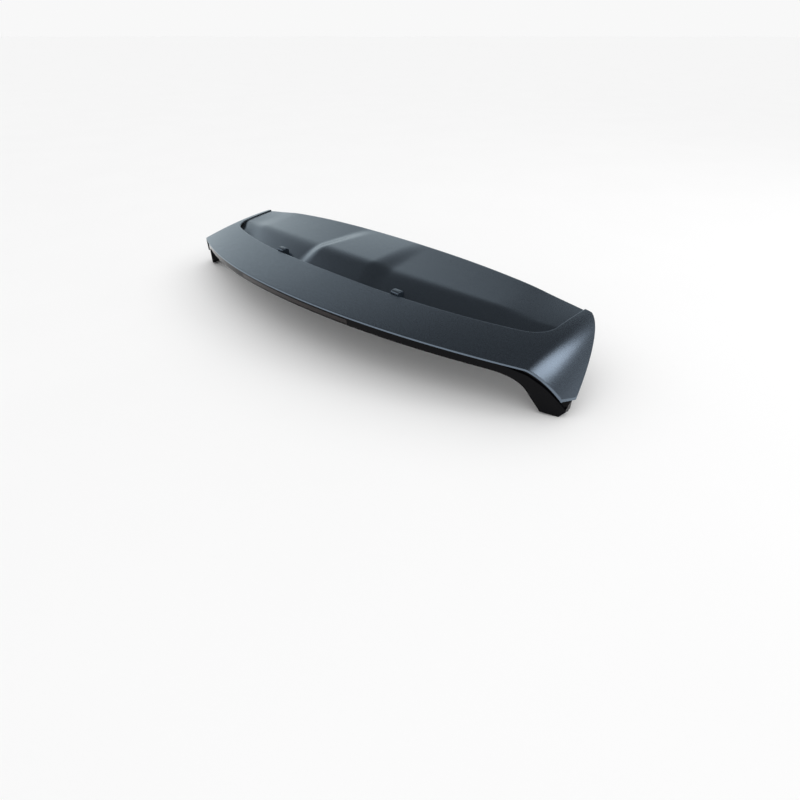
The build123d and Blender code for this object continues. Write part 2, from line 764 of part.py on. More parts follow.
# Rubber seal below the deck's front flange, with a lip that shows in front of it
seal_half = arm_front_x
seal_places = spread(-seal_half, seal_half, 48)
seal_top = deck_rib_depth + deck_gap
with BuildPart() as front_seal:
    with BuildSketch(plan):
        with BuildLine():
            front = Spline(*[(x, front_line(x) + front_seal_lip) for x in seal_places])
            rear = Spline(*[(x, front_line(x) + front_seal_lip - front_seal_width) for x in seal_places])
            Line(rear @ 0, front @ 0)
            Line(rear @ 1, front @ 1)
        make_face()
    extrude(amount=block_tall)
    with BuildSketch(rear_view):
        with BuildLine():
            flange = [deck_top(x, front_line(x) - deck_wall) - seal_top for x in seal_places]
            over = Spline(*[(x, z) for x, z in zip(seal_places, flange)])
            under = Spline(*[(x, z - front_seal_tall) for x, z in zip(seal_places, flange)])
            Line(under @ 0, over @ 0)
            Line(under @ 1, over @ 1)
        make_face()
    extrude(amount=rear_reach, mode=Mode.INTERSECT)
front_seal.part.label = "front_seal"
export_step(front_seal.part, "parts/front_seal.step")

# Adhesive tape inside the front edge of each ear
tape_far = tape_inset + tape_width
with BuildPart() as ear_tapes:
    with BuildSketch(Plane.YZ):
        edge_run = Vector(ear_tip_y - ear_low_y, ear_tip_z - ear_low_z).normalized()
        edge_in = Vector(-edge_run.Y, edge_run.X)
        low_end = Vector(ear_low_y, ear_low_z) + edge_run * tape_width
        high_end = Vector(ear_tip_y, ear_tip_z) - edge_run * 3.0 * tape_width
        with BuildLine():
            near_side = [low_end + edge_in * tape_inset, high_end + edge_in * tape_inset]
            far_side = [high_end + edge_in * tape_far, low_end + edge_in * tape_far]
            Polyline(*[(point.X, point.Y) for point in near_side + far_side], close=True)
        make_face()
    extrude(amount=ear_limit, both=True)
    Box(2.0 * tape_start_x, 2.0 * rear_reach, 2.0 * block_tall, mode=Mode.SUBTRACT)
    split(bisect_by=skin_sheet(below(skin_top, skin_wall + fit_gap)), keep=Keep.BOTTOM)
    split(bisect_by=skin_sheet(below(skin_top, skin_wall + fit_gap + tape_thick)), keep=Keep.TOP)

with BuildPart() as ear_tape_left:
    add(ear_tapes.part.solids().sort_by(Axis.X)[0])
ear_tape_left.part.label = "ear_tape_left"
export_step(ear_tape_left.part, "parts/ear_tape_left.step")

with BuildPart() as ear_tape_right:
    add(ear_tapes.part.solids().sort_by(Axis.X)[-1])
ear_tape_right.part.label = "ear_tape_right"
export_step(ear_tape_right.part, "parts/ear_tape_right.step")

# Foam pads across the open front of each foot
pad_near = leg_depth + fit_gap
with BuildPart() as leg_pads:
    with BuildSketch(plan):
        for way in (-1.0, 1.0):
            ends = sorted((way * pad_in_x, way * pad_out_x))
            add(tail_strip(ends[0], ends[1], steady(pad_near), steady(pad_near + pad_thick)))
    extrude(amount=block_tall)
    with Locations((0.0, 0.0, pad_low_z)):
        Box(2.0 * ear_limit, 2.0 * rear_reach, pad_high_z - pad_low_z,
            align=(Align.CENTER, Align.CENTER, Align.MIN), mode=Mode.INTERSECT)

with BuildPart() as leg_pad_left:
    add(leg_pads.part.solids().sort_by(Axis.X)[0])
leg_pad_left.part.label = "leg_pad_left"
export_step(leg_pad_left.part, "parts/leg_pad_left.step")

with BuildPart() as leg_pad_right:
    add(leg_pads.part.solids().sort_by(Axis.X)[-1])
leg_pad_right.part.label = "leg_pad_right"
export_step(leg_pad_right.part, "parts/leg_pad_right.step")
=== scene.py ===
"""Scene of a roof spoiler: painted blade and deck, gloss black trims, stop lamp and fixings."""
import logging
import math
from dataclasses import dataclass, field
from enum import Enum
from typing import Any, Callable, Sequence, Union

import bmesh
import bpy
import numpy as np
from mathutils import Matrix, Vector


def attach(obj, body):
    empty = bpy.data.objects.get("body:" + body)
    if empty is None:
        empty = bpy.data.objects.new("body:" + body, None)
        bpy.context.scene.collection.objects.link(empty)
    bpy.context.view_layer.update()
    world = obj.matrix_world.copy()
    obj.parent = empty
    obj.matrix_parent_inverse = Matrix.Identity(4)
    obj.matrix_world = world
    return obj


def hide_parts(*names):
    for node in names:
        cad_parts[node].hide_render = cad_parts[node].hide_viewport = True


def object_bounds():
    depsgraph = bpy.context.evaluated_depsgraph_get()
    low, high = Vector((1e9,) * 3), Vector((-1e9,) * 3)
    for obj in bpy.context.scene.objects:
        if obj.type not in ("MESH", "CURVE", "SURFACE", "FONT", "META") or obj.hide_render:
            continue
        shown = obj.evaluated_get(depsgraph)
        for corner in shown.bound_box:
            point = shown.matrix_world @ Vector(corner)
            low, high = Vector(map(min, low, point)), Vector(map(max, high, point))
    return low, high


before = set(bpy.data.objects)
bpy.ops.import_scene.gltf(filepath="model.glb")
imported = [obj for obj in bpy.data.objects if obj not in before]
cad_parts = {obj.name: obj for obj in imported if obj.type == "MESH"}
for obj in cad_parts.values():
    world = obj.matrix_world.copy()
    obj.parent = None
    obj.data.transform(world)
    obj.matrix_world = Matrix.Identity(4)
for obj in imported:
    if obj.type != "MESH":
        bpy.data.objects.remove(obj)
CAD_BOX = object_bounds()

LOG = logging.getLogger("spoiler")
MM = 0.001
WELD = 1e-6
SHARP_ANGLE = math.radians(32.0)
# Least upward part of the normal of a face that is painted as part of the upper side.
UPWARD = 0.3
ROOT = "root"
# Name of the face mark for black: bare plastic on the hidden inside, and painted shade on the rim's inner
# wall, which lies in the shadow gap.
BARE_AND_SHADE = "bare"
Colour = tuple[float, float, float]
Array = np.ndarray
Profile = list[tuple[float, float]]


def ramp(value: Array, start: float, end: float) -> Array:
    """Smooth rise from 0 at start to 1 at end."""
    share = np.clip((np.asarray(value, float) - start) / (end - start), 0.0, 1.0)
    return share ** 3 * (10.0 - 15.0 * share + 6.0 * share ** 2)


def mix(first: Any, second: Any, share: Any) -> Any:
    """The value that lies the given share of the way from first to second."""
    return first + (second - first) * share


def slope(line: Callable[[float], Any], x: float) -> float:
    """Rise of a line at a place, for each millimetre across."""
    return float(line(x + 1.0) - line(x - 1.0)) / 2.0


def points_at(x: Any, y: Any, z: Any) -> Array:
    """Points from their coordinates, any of which may be one number for all."""
    return np.stack(np.broadcast_arrays(x, y, z), axis=-1)


def quarter_turn(count: int) -> Array:
    """Angles of a quarter turn."""
    return np.linspace(0.0, math.pi / 2.0, count)


def hermite(start: Sequence[float], end: Sequence[float], leave: Sequence[float], arrive: Sequence[float],
            count: int) -> Array:
    """Points of a cubic curve between two points with given directions.

    Args:
        start: First point.
        end: Last point.
        leave: Direction at the first point.
        arrive: Direction at the last point.
        count: Number of points.

    Returns:
        Array of points, one row each.
    """
    first, last = np.array(start, float), np.array(end, float)
    chord = np.linalg.norm(last - first)
    out = np.array(leave, float) / np.linalg.norm(leave) * chord
    into = np.array(arrive, float) / np.linalg.norm(arrive) * chord
    t = np.linspace(0.0, 1.0, count)[:, None]
    return ((2 * t ** 3 - 3 * t ** 2 + 1) * first + (t ** 3 - 2 * t ** 2 + t) * out
            + (3 * t ** 2 - 2 * t ** 3) * last + (t ** 3 - t ** 2) * into)


@dataclass(frozen=True)
class EdgeCurve:
    """An edge across the car, bowed in plan and cambered by powers of the distance from the centre."""

    y: float
    bow: float
    bow_power: float
    z: float
    camber: float
    camber_power: float
    reference_half: float = 600.0

    def across(self, x: Array, power: float) -> Array:
        """How far out a place lies, as a share of the reference half raised to a power."""
        return (np.abs(x) / self.reference_half) ** power

    def line(self, x: Array) -> Array:
        """Plan of the edge."""
        return self.y + self.bow * self.across(x, self.bow_power)

    def height(self, x: Array) -> Array:
        """Height of the edge."""
        return self.z - self.camber * self.across(x, self.camber_power)


@dataclass(frozen=True)
class SpoilerForm:
    """The spoiler's own curves and heights, in millimetres in the part's frame."""

    front: EdgeCurve = EdgeCurve(y=122.0, bow=-12.0, bow_power=3.0, z=71.0, camber=35.0, camber_power=2.3)
    blade: EdgeCurve = EdgeCurve(y=-130.0, bow=122.0, bow_power=2.3, z=50.0, camber=24.0, camber_power=1.6)
    tail: EdgeCurve = EdgeCurve(y=-271.0, bow=148.0, bow_power=2.0, z=41.0, camber=38.0, camber_power=1.85)
    crease_x: float = 571.0
    crease_softness: float = 4.0
    crease_slope: float = 0.33
    ear_reach: float = 71.0
    ear_drop: float = 52.5
    ear_tip_y: float = 113.0
    ear_tip_z: float = 38.0
    ear_low_y: float = -63.0
    ear_low_z: float = -60.0
    ear_heel_y: float = -100.0
    ear_heel_z: float = -52.0
    ear_limit: float = 660.0
    skin_wall: float = 3.0
    rim_depth: float = 8.0
    lip_depth: float = 4.0
    arm_front_x: float = 563.0
    arm_rear_x: float = 553.0
    arm_rear_y: float = 8.0
    corner_x: float = 505.0
    deck_wall: float = 3.0
    deck_rib_depth: float = 10.0
    deck_rib_wall: float = 2.4
    deck_rib_x: tuple[float, ...] = (60.0, 190.0, 300.0, 470.0)
    deck_rib_rear_y: float = -60.0
    deck_under_rim: float = 6.0
    deck_rear_overlap: float = 24.0
    deck_rear_half: float = 438.0
    crest_half: float = 58.0
    crest_foot: float = 130.0
    crest_spread: float = 24.0
    crest_start: float = 0.66
    crest_end: float = 1.18
    crest_dip: float = -3.0
    hollow_start: float = 0.60
    hollow_end: float = 1.16
    hollow_dip: float = 10.0
    cove_start: float = 400.0
    cove_end: float = 525.0
    rim_stand_front: float = 3.0
    rim_stand_rear: float = 14.0
    rim_stand_start: float = 0.68
    trim_wall: float = 3.0
    trim_height: float = 24.0
    trim_setback: float = 4.0
    ledge_setback: float = 9.0
    ledge_drop: float = 6.5
    ledge_drop_leg: float = 18.0
    trim_depth: float = 34.0
    leg_depth: float = 24.0
    trim_straight: float = 500.0
    leg_knee: tuple[float, float] = (575.0, -45.0)
    foot_in: tuple[float, float] = (605.0, -90.0)
    foot_out: tuple[float, float] = (639.0, -96.0)
    leg_out: tuple[float, float] = (649.0, -83.0)
    seam_x: float = 300.0
    seam_gap: float = 0.6
    lens_half: float = 195.0
    lens_height: float = 10.0
    fit_gap: float = 0.3
    deck_gap: float = 0.8
    run_points: int = 60
    bend_points: int = 40

    def skin_top(self, x: Array, y: Array) -> Array:
        """Height of the outer skin: a parabola through the three edges, turned down past the crease."""
        y_t, y_b, y_f = self.tail.line(x), self.blade.line(x), self.front.line(x)
        at_tail = (y - y_b) * (y - y_f) / ((y_t - y_b) * (y_t - y_f))
        at_blade = (y - y_t) * (y - y_f) / ((y_b - y_t) * (y_b - y_f))
        at_front = (y - y_t) * (y - y_b) / ((y_f - y_t) * (y_f - y_b))
        top = (at_tail * self.tail.height(x) + at_blade * self.blade.height(x)
               + at_front * self.front.height(x))
        past = np.abs(x) - self.crease_x
        past = 0.5 * (past + np.hypot(past, self.crease_softness))
        span = self.ear_tip_y - self.tail.line(self.crease_x)
        ear_slope = self.crease_slope * (self.ear_tip_y - y) / span
        ear_bend = (self.ear_drop - ear_slope * self.ear_reach) / self.ear_reach ** 2
        return top - ear_slope * past - ear_bend * past ** 2

    def steepness(self, height: Callable[[Array, Array], Array], x: Array, y: Array) -> Array:
        """Vertical length of a wall that measures 1 square to a surface."""
        along_x = (height(x + 1.0, y) - height(x - 1.0, y)) / 2.0
        along_y = (height(x, y + 1.0) - height(x, y - 1.0)) / 2.0
        return np.sqrt(1.0 + along_x ** 2 + along_y ** 2)

    def skin_below(self, x: Array, y: Array, depth: float) -> Array:
        """Height of a surface that lies a depth below the skin, measured square to it."""
        return self.skin_top(x, y) - depth * self.steepness(self.skin_top, x, y)

    def deck_back(self, x: Array, y: Array) -> Array:
        """How far back a place lies on the deck: 0 at its front edge, 1 at the blade's edge."""
        return (self.front.line(x) - y) / (self.front.line(x) - self.blade.line(x))

    def rim_stand(self, x: Array, y: Array) -> Array:
        """How far the rim beside the arms stands above the deck."""
        share = ramp(self.deck_back(x, y), self.rim_stand_start, 1.0)
        return mix(self.rim_stand_front, self.rim_stand_rear, share)

    def deck_floor(self, x: Array) -> Array:
        """Height of the deck below the blade."""
        return self.tail.height(x) - self.trim_height + self.trim_wall + self.fit_gap + self.deck_wall

    def deck_top(self, x: Array, y: Array) -> Array:
        """Height of the deck: hollow at the sides, raised in the middle, coved up to the rim."""
        back = self.deck_back(x, y)
        settled = 1.0 - np.maximum(1.0 - back, 0.0) ** 2
        fall = self.front.height(x) - self.deck_floor(x)
        hollow = mix(self.hollow_dip * settled, fall, ramp(back, self.hollow_start, self.hollow_end))
        crest = mix(self.crest_dip * settled, fall, ramp(back, self.crest_start, self.crest_end))
        flank = ramp(np.abs(x) - self.crest_spread * back, self.crest_half, self.crest_foot)
        open_deck = self.front.height(x) - mix(crest, hollow, flank)
        rim_side = self.skin_top(x, y) - self.rim_stand(x, y)
        return mix(open_deck, rim_side, ramp(np.abs(x), self.cove_start, self.cove_end))

    def deck_below(self, x: Array, y: Array, depth: float) -> Array:
        """Height of a surface that lies a depth below the deck, measured square to it."""
        return self.deck_top(x, y) - depth * self.steepness(self.deck_top, x, y)

    def ledge_top(self, x: Array, y: Array) -> Array:
        """Height of the ledge line along the trim, further below the skin on the legs."""
        share = ramp(np.abs(x), self.trim_straight, self.foot_in[0])
        return self.skin_top(x, y) - mix(self.ledge_drop, self.ledge_drop_leg, share)

    def trim_low(self, x: Array) -> Array:
        """Height of the lower edge of the trims and legs."""
        run_x = np.linspace(0.0, self.trim_straight, self.run_points)
        run_z = self.tail.height(run_x) - self.trim_height
        leave = (1.0, slope(self.tail.height, self.trim_straight))
        leg = np.subtract(self.foot_in, self.leg_knee)
        knee = hermite((run_x[-1], run_z[-1]), self.leg_knee, leave, leg, self.bend_points)
        foot_x, foot_z = zip(self.foot_in, self.foot_out, self.leg_out)
        places = np.concatenate([run_x[:-1], knee[:, 0], foot_x])
        return np.interp(np.abs(x), places, np.concatenate([run_z[:-1], knee[:, 1], foot_z]))

    def trim_front(self, x: Array) -> Array:
        """How far in front of the tail the trim's flanges reach, less on the legs."""
        return mix(self.trim_depth, self.leg_depth, ramp(np.abs(x), self.trim_straight, self.leg_knee[0]))

    def arm_lean(self) -> tuple[float, float]:
        """Direction of an arm's inner edge in plan, from the rear to the front."""
        return self.arm_front_x - self.arm_rear_x, self.ear_tip_y - self.arm_rear_y

    def corner_bend(self, start: Sequence[float], end: Sequence[float], count: int) -> Array:
        """Plan of a bend round the opening's rear corner, from the blade's direction to the arm's."""
        return hermite(start, end, (1.0, slope(self.blade.line, self.corner_x)), self.arm_lean(), count)


def add_object(name: str, data: bpy.types.ID) -> bpy.types.Object:
    """Make an object and link it to the scene."""
    item = bpy.data.objects.new(name, data)
    bpy.context.scene.collection.objects.link(item)
    return item


def shade(mesh: bpy.types.Mesh) -> None:
    """Shade a mesh smooth, with sharp corners kept sharp by their angle."""
    mesh.polygons.foreach_set("use_smooth", [True] * len(mesh.polygons))
    mesh.set_sharp_from_angle(angle=SHARP_ANGLE)


class ShellMesh:
    """Collects lofted solids, in millimetres, and joins them in one mesh."""

    def __init__(self) -> None:
        """Start with no points."""
        self.points: list[Array] = []
        self.faces: list[list[int]] = []
        self.count = 0

    def add_loft(self, loops: Array) -> None:
        """Add a solid between closed loops of equal length, with both ends capped."""
        rows, count = loops.shape[:2]
        index = self.count + np.arange(rows * count).reshape(rows, count)
        here, there = index[:-1], index[1:]
        quads = np.stack([here, np.roll(here, -1, 1), np.roll(there, -1, 1), there], axis=-1)
        self.faces += quads.reshape(-1, 4).tolist() + [index[0][::-1].tolist(), index[-1].tolist()]
        self.points.append(loops.reshape(-1, 3))
        self.count += rows * count

    def build(self, name: str) -> bpy.types.Object:
        """Make the object, with its seams closed and its faces outward."""
        mesh = bpy.data.meshes.new(name)
        mesh.from_pydata((np.concatenate(self.points) * MM).tolist(), [], self.faces)
        shell = bmesh.new()
        shell.from_mesh(mesh)
        bmesh.ops.remove_doubles(shell, verts=shell.verts, dist=WELD)
        bmesh.ops.dissolve_degenerate(shell, edges=shell.edges, dist=WELD / 10.0)
        bmesh.ops.recalc_face_normals(shell, faces=shell.faces)
        shell.to_mesh(mesh)
        shell.free()
        shade(mesh)
        return add_object(name, mesh)


def mark_bare_and_shade(piece: bpy.types.Object, painted: Callable[[Vector, Vector], bool]) -> None:
    """Mark the faces that get black, from a test of each face's centre and normal: bare plastic inside, and
    painted shade on the rim's inner wall, which lies in the gap.
    """
    marks = piece.data.attributes.new(BARE_AND_SHADE, "FLOAT", "FACE")
    marks.data.foreach_set("value", [float(not painted(face.center / MM, face.normal))
                                     for face in piece.data.polygons])


@dataclass
class BladeSkin:
    """The painted upper moulding: blade, arms and ears in one shell with rounded edges."""

    form: SpoilerForm
    blade_lines: int = 150
    corner_lines: int = 60
    arm_lines: int = 70
    top_points: int = 72
    under_points: int = 24
    rim_round: float = 2.6
    edge_round: float = 1.3
    tail_end_x: float = 556.0
    round_points: int = 5
    face_points: int = 3
    halvings: int = 40
    search_points: int = 2000
    search_in: float = 30.0
    search_out: float = 20.0

    def ear_edge_z(self, y: Array) -> Array:
        """Height of the ear's lower edge, from its heel over its lowest point to its tip."""
        form = self.form
        heel = (form.ear_heel_z - form.ear_low_z) / (form.ear_heel_y - form.ear_low_y)
        tip = (form.ear_tip_z - form.ear_low_z) / (form.ear_tip_y - form.ear_low_y)
        past = y - form.ear_low_y
        return form.ear_low_z + np.where(past < 0.0, heel, tip) * past

    def ear_edge_x(self, y: Array) -> Array:
        """Distance from the centre at which the skin meets the ear's lower edge, found by halving."""
        low = np.full_like(y, self.form.crease_x - self.search_in)
        high = np.full_like(y, self.form.ear_limit + self.search_out)
        for _ in range(self.halvings):
            middle = 0.5 * (low + high)
            above = self.form.skin_top(middle, y) > self.ear_edge_z(y)
            low = np.where(above, middle, low)
            high = np.where(above, high, middle)
        return 0.5 * (low + high)

    def heel_x(self) -> float:
        """Distance from the centre at which the tail meets the ear's lower edge."""
        places = np.linspace(self.form.crease_x, self.form.ear_limit, self.search_points)
        tail = self.form.tail.line(places)
        return float(places[np.argmax(self.form.skin_top(places, tail) < self.ear_edge_z(tail))])

    def inner_path(self) -> Array:
        """Plan of the right half of the opening's rim, from the centre to the arm's tip."""
        form = self.form
        blade_x = np.linspace(0.0, form.corner_x, self.blade_lines)
        blade = np.stack([blade_x, form.blade.line(blade_x)], axis=1)
        corner = form.corner_bend(blade[-1], (form.arm_rear_x, form.arm_rear_y), self.corner_lines + 1)
        tip_y = float(form.front.line(form.arm_front_x))
        arm_y = np.linspace(form.arm_rear_y, tip_y, self.arm_lines + 1)
        lean_x, lean_y = form.arm_lean()
        arm_x = form.arm_rear_x + lean_x / lean_y * (arm_y - form.arm_rear_y)
        return np.concatenate([blade, corner[1:], np.stack([arm_x, arm_y], axis=1)[1:]])

    def outer_path(self) -> Array:
        """Plan of the right half of the outer edge: tail, ear's rear, lower and front edges."""
        form = self.form
        tail_x = np.concatenate([np.linspace(0.0, self.tail_end_x, self.blade_lines),
                                 np.linspace(self.tail_end_x, self.heel_x(), self.corner_lines + 1)[1:]])
        tail = np.stack([tail_x, form.tail.line(tail_x)], axis=1)
        tip_y = float(form.front.line(form.crease_x))
        lower = self.arm_lines // 6
        ear_y = np.concatenate([np.linspace(tail[-1, 1], form.ear_low_y, lower + 1)[1:],
                                np.linspace(form.ear_low_y, tip_y, self.arm_lines - lower + 1)[1:]])
        return np.concatenate([tail, np.stack([self.ear_edge_x(ear_y), ear_y], axis=1)])

    def section(self, inner: Array, outer: Array, on_tail: bool) -> Array:
        """Closed loop of the shell on the line from a rim point to an outer point.

        Args:
            inner: Plan of the rim point.
            outer: Plan of the outer edge point.
            on_tail: Whether the outer point lies on the trailing edge, which has a lip.

        Returns:
            Points of the loop.
        """
        form = self.form
        reach = float(np.linalg.norm(outer - inner))
        along = (outer - inner) / reach
        rim, edge = min(self.rim_round, reach / 4.0), min(self.edge_round, reach / 4.0)
        wall = min(form.skin_wall, reach / 3.0)

        def top(d: Array) -> Array:
            """Height of the skin at a distance from the rim."""
            return form.skin_top(inner[0] + along[0] * d, inner[1] + along[1] * d)

        def steep(d: Array) -> Array:
            """Steepness of the skin at a distance from the rim."""
            return form.steepness(form.skin_top, inner[0] + along[0] * d, inner[1] + along[1] * d)

        share = ramp(abs(inner[0]), form.cove_start, form.cove_end)
        depth = mix(form.rim_depth, float(form.rim_stand(inner[0], inner[1])) - form.deck_gap, share)
        rim_z, edge_z = float(top(rim)), float(top(reach - edge))
        lip = (form.lip_depth if on_tail else form.skin_wall) * float(steep(reach))
        turn = quarter_turn(self.round_points)
        low_z = float(top(0.0)) - depth
        face_z = np.linspace(low_z, rim_z - rim, self.face_points + 1)[:-1]
        top_d = np.linspace(rim, reach - edge, self.top_points)[1:-1]
        under_d = np.linspace(reach - wall, wall, self.under_points)
        lip_z = float(top(reach)) - lip
        distance = np.concatenate([np.zeros(self.face_points), rim - rim * np.cos(turn), top_d,
                                   reach - edge + edge * np.sin(turn), [reach, reach - wall], under_d,
                                   [wall]])
        height = np.concatenate([face_z, rim_z - rim + rim * np.sin(turn), top(top_d),
                                 edge_z - edge + edge * np.cos(turn), [lip_z, lip_z],
                                 top(under_d) - form.skin_wall * steep(under_d), [low_z]])
        return points_at(inner[0] + along[0] * distance, inner[1] + along[1] * distance, height)

    def build(self) -> bpy.types.Object:
        """Loft the sections round the opening from the left tip to the right tip."""
        inner, outer = self.inner_path(), self.outer_path()
        tail_end = self.blade_lines + self.corner_lines
        right = np.array([self.section(i, o, k < tail_end) for k, (i, o) in enumerate(zip(inner, outer))])
        left = right[:0:-1] * np.array([-1.0, 1.0, 1.0])
        shell = ShellMesh()
        shell.add_loft(np.concatenate([left, right]))
        piece = shell.build("blade_skin_moulding")
        # The faces marked here get black: painted shade on the rim's inner wall, bare plastic inside.
        mark_bare_and_shade(piece, self.painted)
        return piece

    def painted(self, centre: Vector, normal: Vector) -> bool:
        """Whether a face is painted: the upper side and outer edges, not the rim's wall or the inside; the
        rim's wall gets black as painted shade of the gap, the inside as bare plastic.
        """
        faces_out = normal.z > UPWARD or centre.y < self.form.tail.line(centre.x) + self.edge_round
        return faces_out or (abs(centre.x) > self.form.crease_x and normal.x * centre.x > 0.0)


@dataclass
class DeckPanel:
    """The painted panel in the opening, with its front flange, ribs and bosses below."""

    form: SpoilerForm
    columns: int = 300
    rows: int = 84
    under_rows: int = 30
    edge_round: float = 1.6
    round_points: int = 5
    boss_radius: float = 11.0
    boss_places: tuple[tuple[float, float], ...] = ((380.0, 45.0), (380.0, -45.0))
    clip_radius: float = 7.0
    clip_places: tuple[float, ...] = (130.0, 450.0)
    clip_back: float = 26.0
    clip_seat: float = 18.0
    boss_sides: int = 40
    rib_points: int = 30
    side_gap: float = 0.5

    def rear_line(self, x: Array) -> Array:
        """Plan of the deck's rear edge, hidden below the blade, and of its sides below the rim."""
        form = self.form
        rear_x = np.linspace(0.0, form.deck_rear_half, form.run_points)
        corner = (form.corner_x, float(form.blade.line(form.corner_x)) - form.deck_under_rim)
        side = (form.arm_rear_x + form.deck_under_rim, form.arm_rear_y)
        bend = form.corner_bend(corner, side, form.bend_points)
        tip_x = form.arm_front_x + form.deck_under_rim
        places = np.concatenate([rear_x, bend[:, 0], [tip_x]])
        lines = np.concatenate([form.tail.line(rear_x) + form.deck_rear_overlap, bend[:, 1],
                                [float(form.front.line(tip_x))]])
        return np.interp(np.abs(x), places, lines)

    def column_places(self) -> Array:
        """Distances of the columns, closer over the flanks of the raised middle."""
        form = self.form
        tip_x = form.arm_front_x + form.deck_under_rim
        plain = np.linspace(0.0, tip_x - self.side_gap, self.columns // 2)
        flank = np.linspace(form.crest_half, form.crest_foot + form.crest_spread, self.columns // 8)
        right = np.unique(np.concatenate([plain, flank]))
        return np.concatenate([-right[:0:-1], right])

    def section(self, x: float) -> Array:
        """Closed loop of the panel at a distance from the centre, from the rear edge to the front flange."""
        form = self.form
        front, rear = float(form.front.line(x)), float(self.rear_line(x))
        reach = front - rear
        edge = min(self.edge_round, reach / 4.0)
        wall = min(form.deck_wall, reach / 3.0)
        turn = quarter_turn(self.round_points)
        top_y = rear + np.linspace(0.0, 1.0, self.rows) * (reach - edge)
        under_y = np.linspace(front - wall, rear, self.under_rows)
        edge_z = float(form.deck_top(x, front - edge))
        low_z = float(form.deck_below(x, front, form.deck_rib_depth))
        y = np.concatenate([top_y[:-1], front - edge + edge * np.sin(turn), [front, front - wall], under_y])
        z = np.concatenate([form.deck_top(x, top_y[:-1]), edge_z - edge + edge * np.cos(turn),
                            [low_z, low_z], form.deck_below(x, under_y, form.deck_wall)])
        return points_at(x, y, z)

    def rib(self, x: float) -> Array:
        """Loops of a rib below the deck, from its rear end to the front flange."""
        form = self.form
        half = form.deck_rib_wall / 2.0
        front = float(form.front.line(x)) - form.deck_wall / 2.0
        places = np.linspace(form.deck_rib_rear_y, front, self.rib_points)
        high = form.deck_below(x, places, form.deck_wall / 2.0)
        low = form.deck_below(x, places, form.deck_rib_depth)
        corners = ((-half, high), (half, high), (half, low), (-half, low))
        return np.stack([points_at(x + side, places, level) for side, level in corners], axis=1)

    def boss(self, x: float, y: float, radius: float, seat_z: float) -> Array:
        """Loops of a round boss from its seat up into the panel's wall."""
        turn = np.linspace(0.0, 2.0 * math.pi, self.boss_sides, endpoint=False)
        ring_x, ring_y = x + radius * np.cos(turn), y + radius * np.sin(turn)
        high = self.form.deck_below(ring_x, ring_y, self.form.deck_wall / 2.0)
        return np.stack([points_at(ring_x, ring_y, level) for level in (seat_z, high)])

    def build(self) -> bpy.types.Object:
        """Loft the panel across the car and add its ribs and bosses."""
        form = self.form
        shell = ShellMesh()
        shell.add_loft(np.array([self.section(float(x)) for x in self.column_places()]))
        for way in (-1.0, 1.0):
            for x in form.deck_rib_x:
                shell.add_loft(self.rib(way * x))
            for x, y in self.boss_places:
                shell.add_loft(self.boss(way * x, y, self.boss_radius, 0.0))
            for x in self.clip_places:
                y = float(form.front.line(x)) - self.clip_back
                seat = float(form.deck_top(x, y)) - self.clip_seat
                shell.add_loft(self.boss(way * x, y, self.clip_radius, seat))
        piece = shell.build("deck_panel_moulding")
        mark_bare_and_shade(piece, self.painted)
        return piece

    def painted(self, centre: Vector, normal: Vector) -> bool:
        """Whether a face is painted: the upper side and the front edge; the faces below get black, as bare
        plastic and painted shade under the deck.
        """
        return normal.z > UPWARD or centre.y > self.form.front.line(centre.x) - self.edge_round


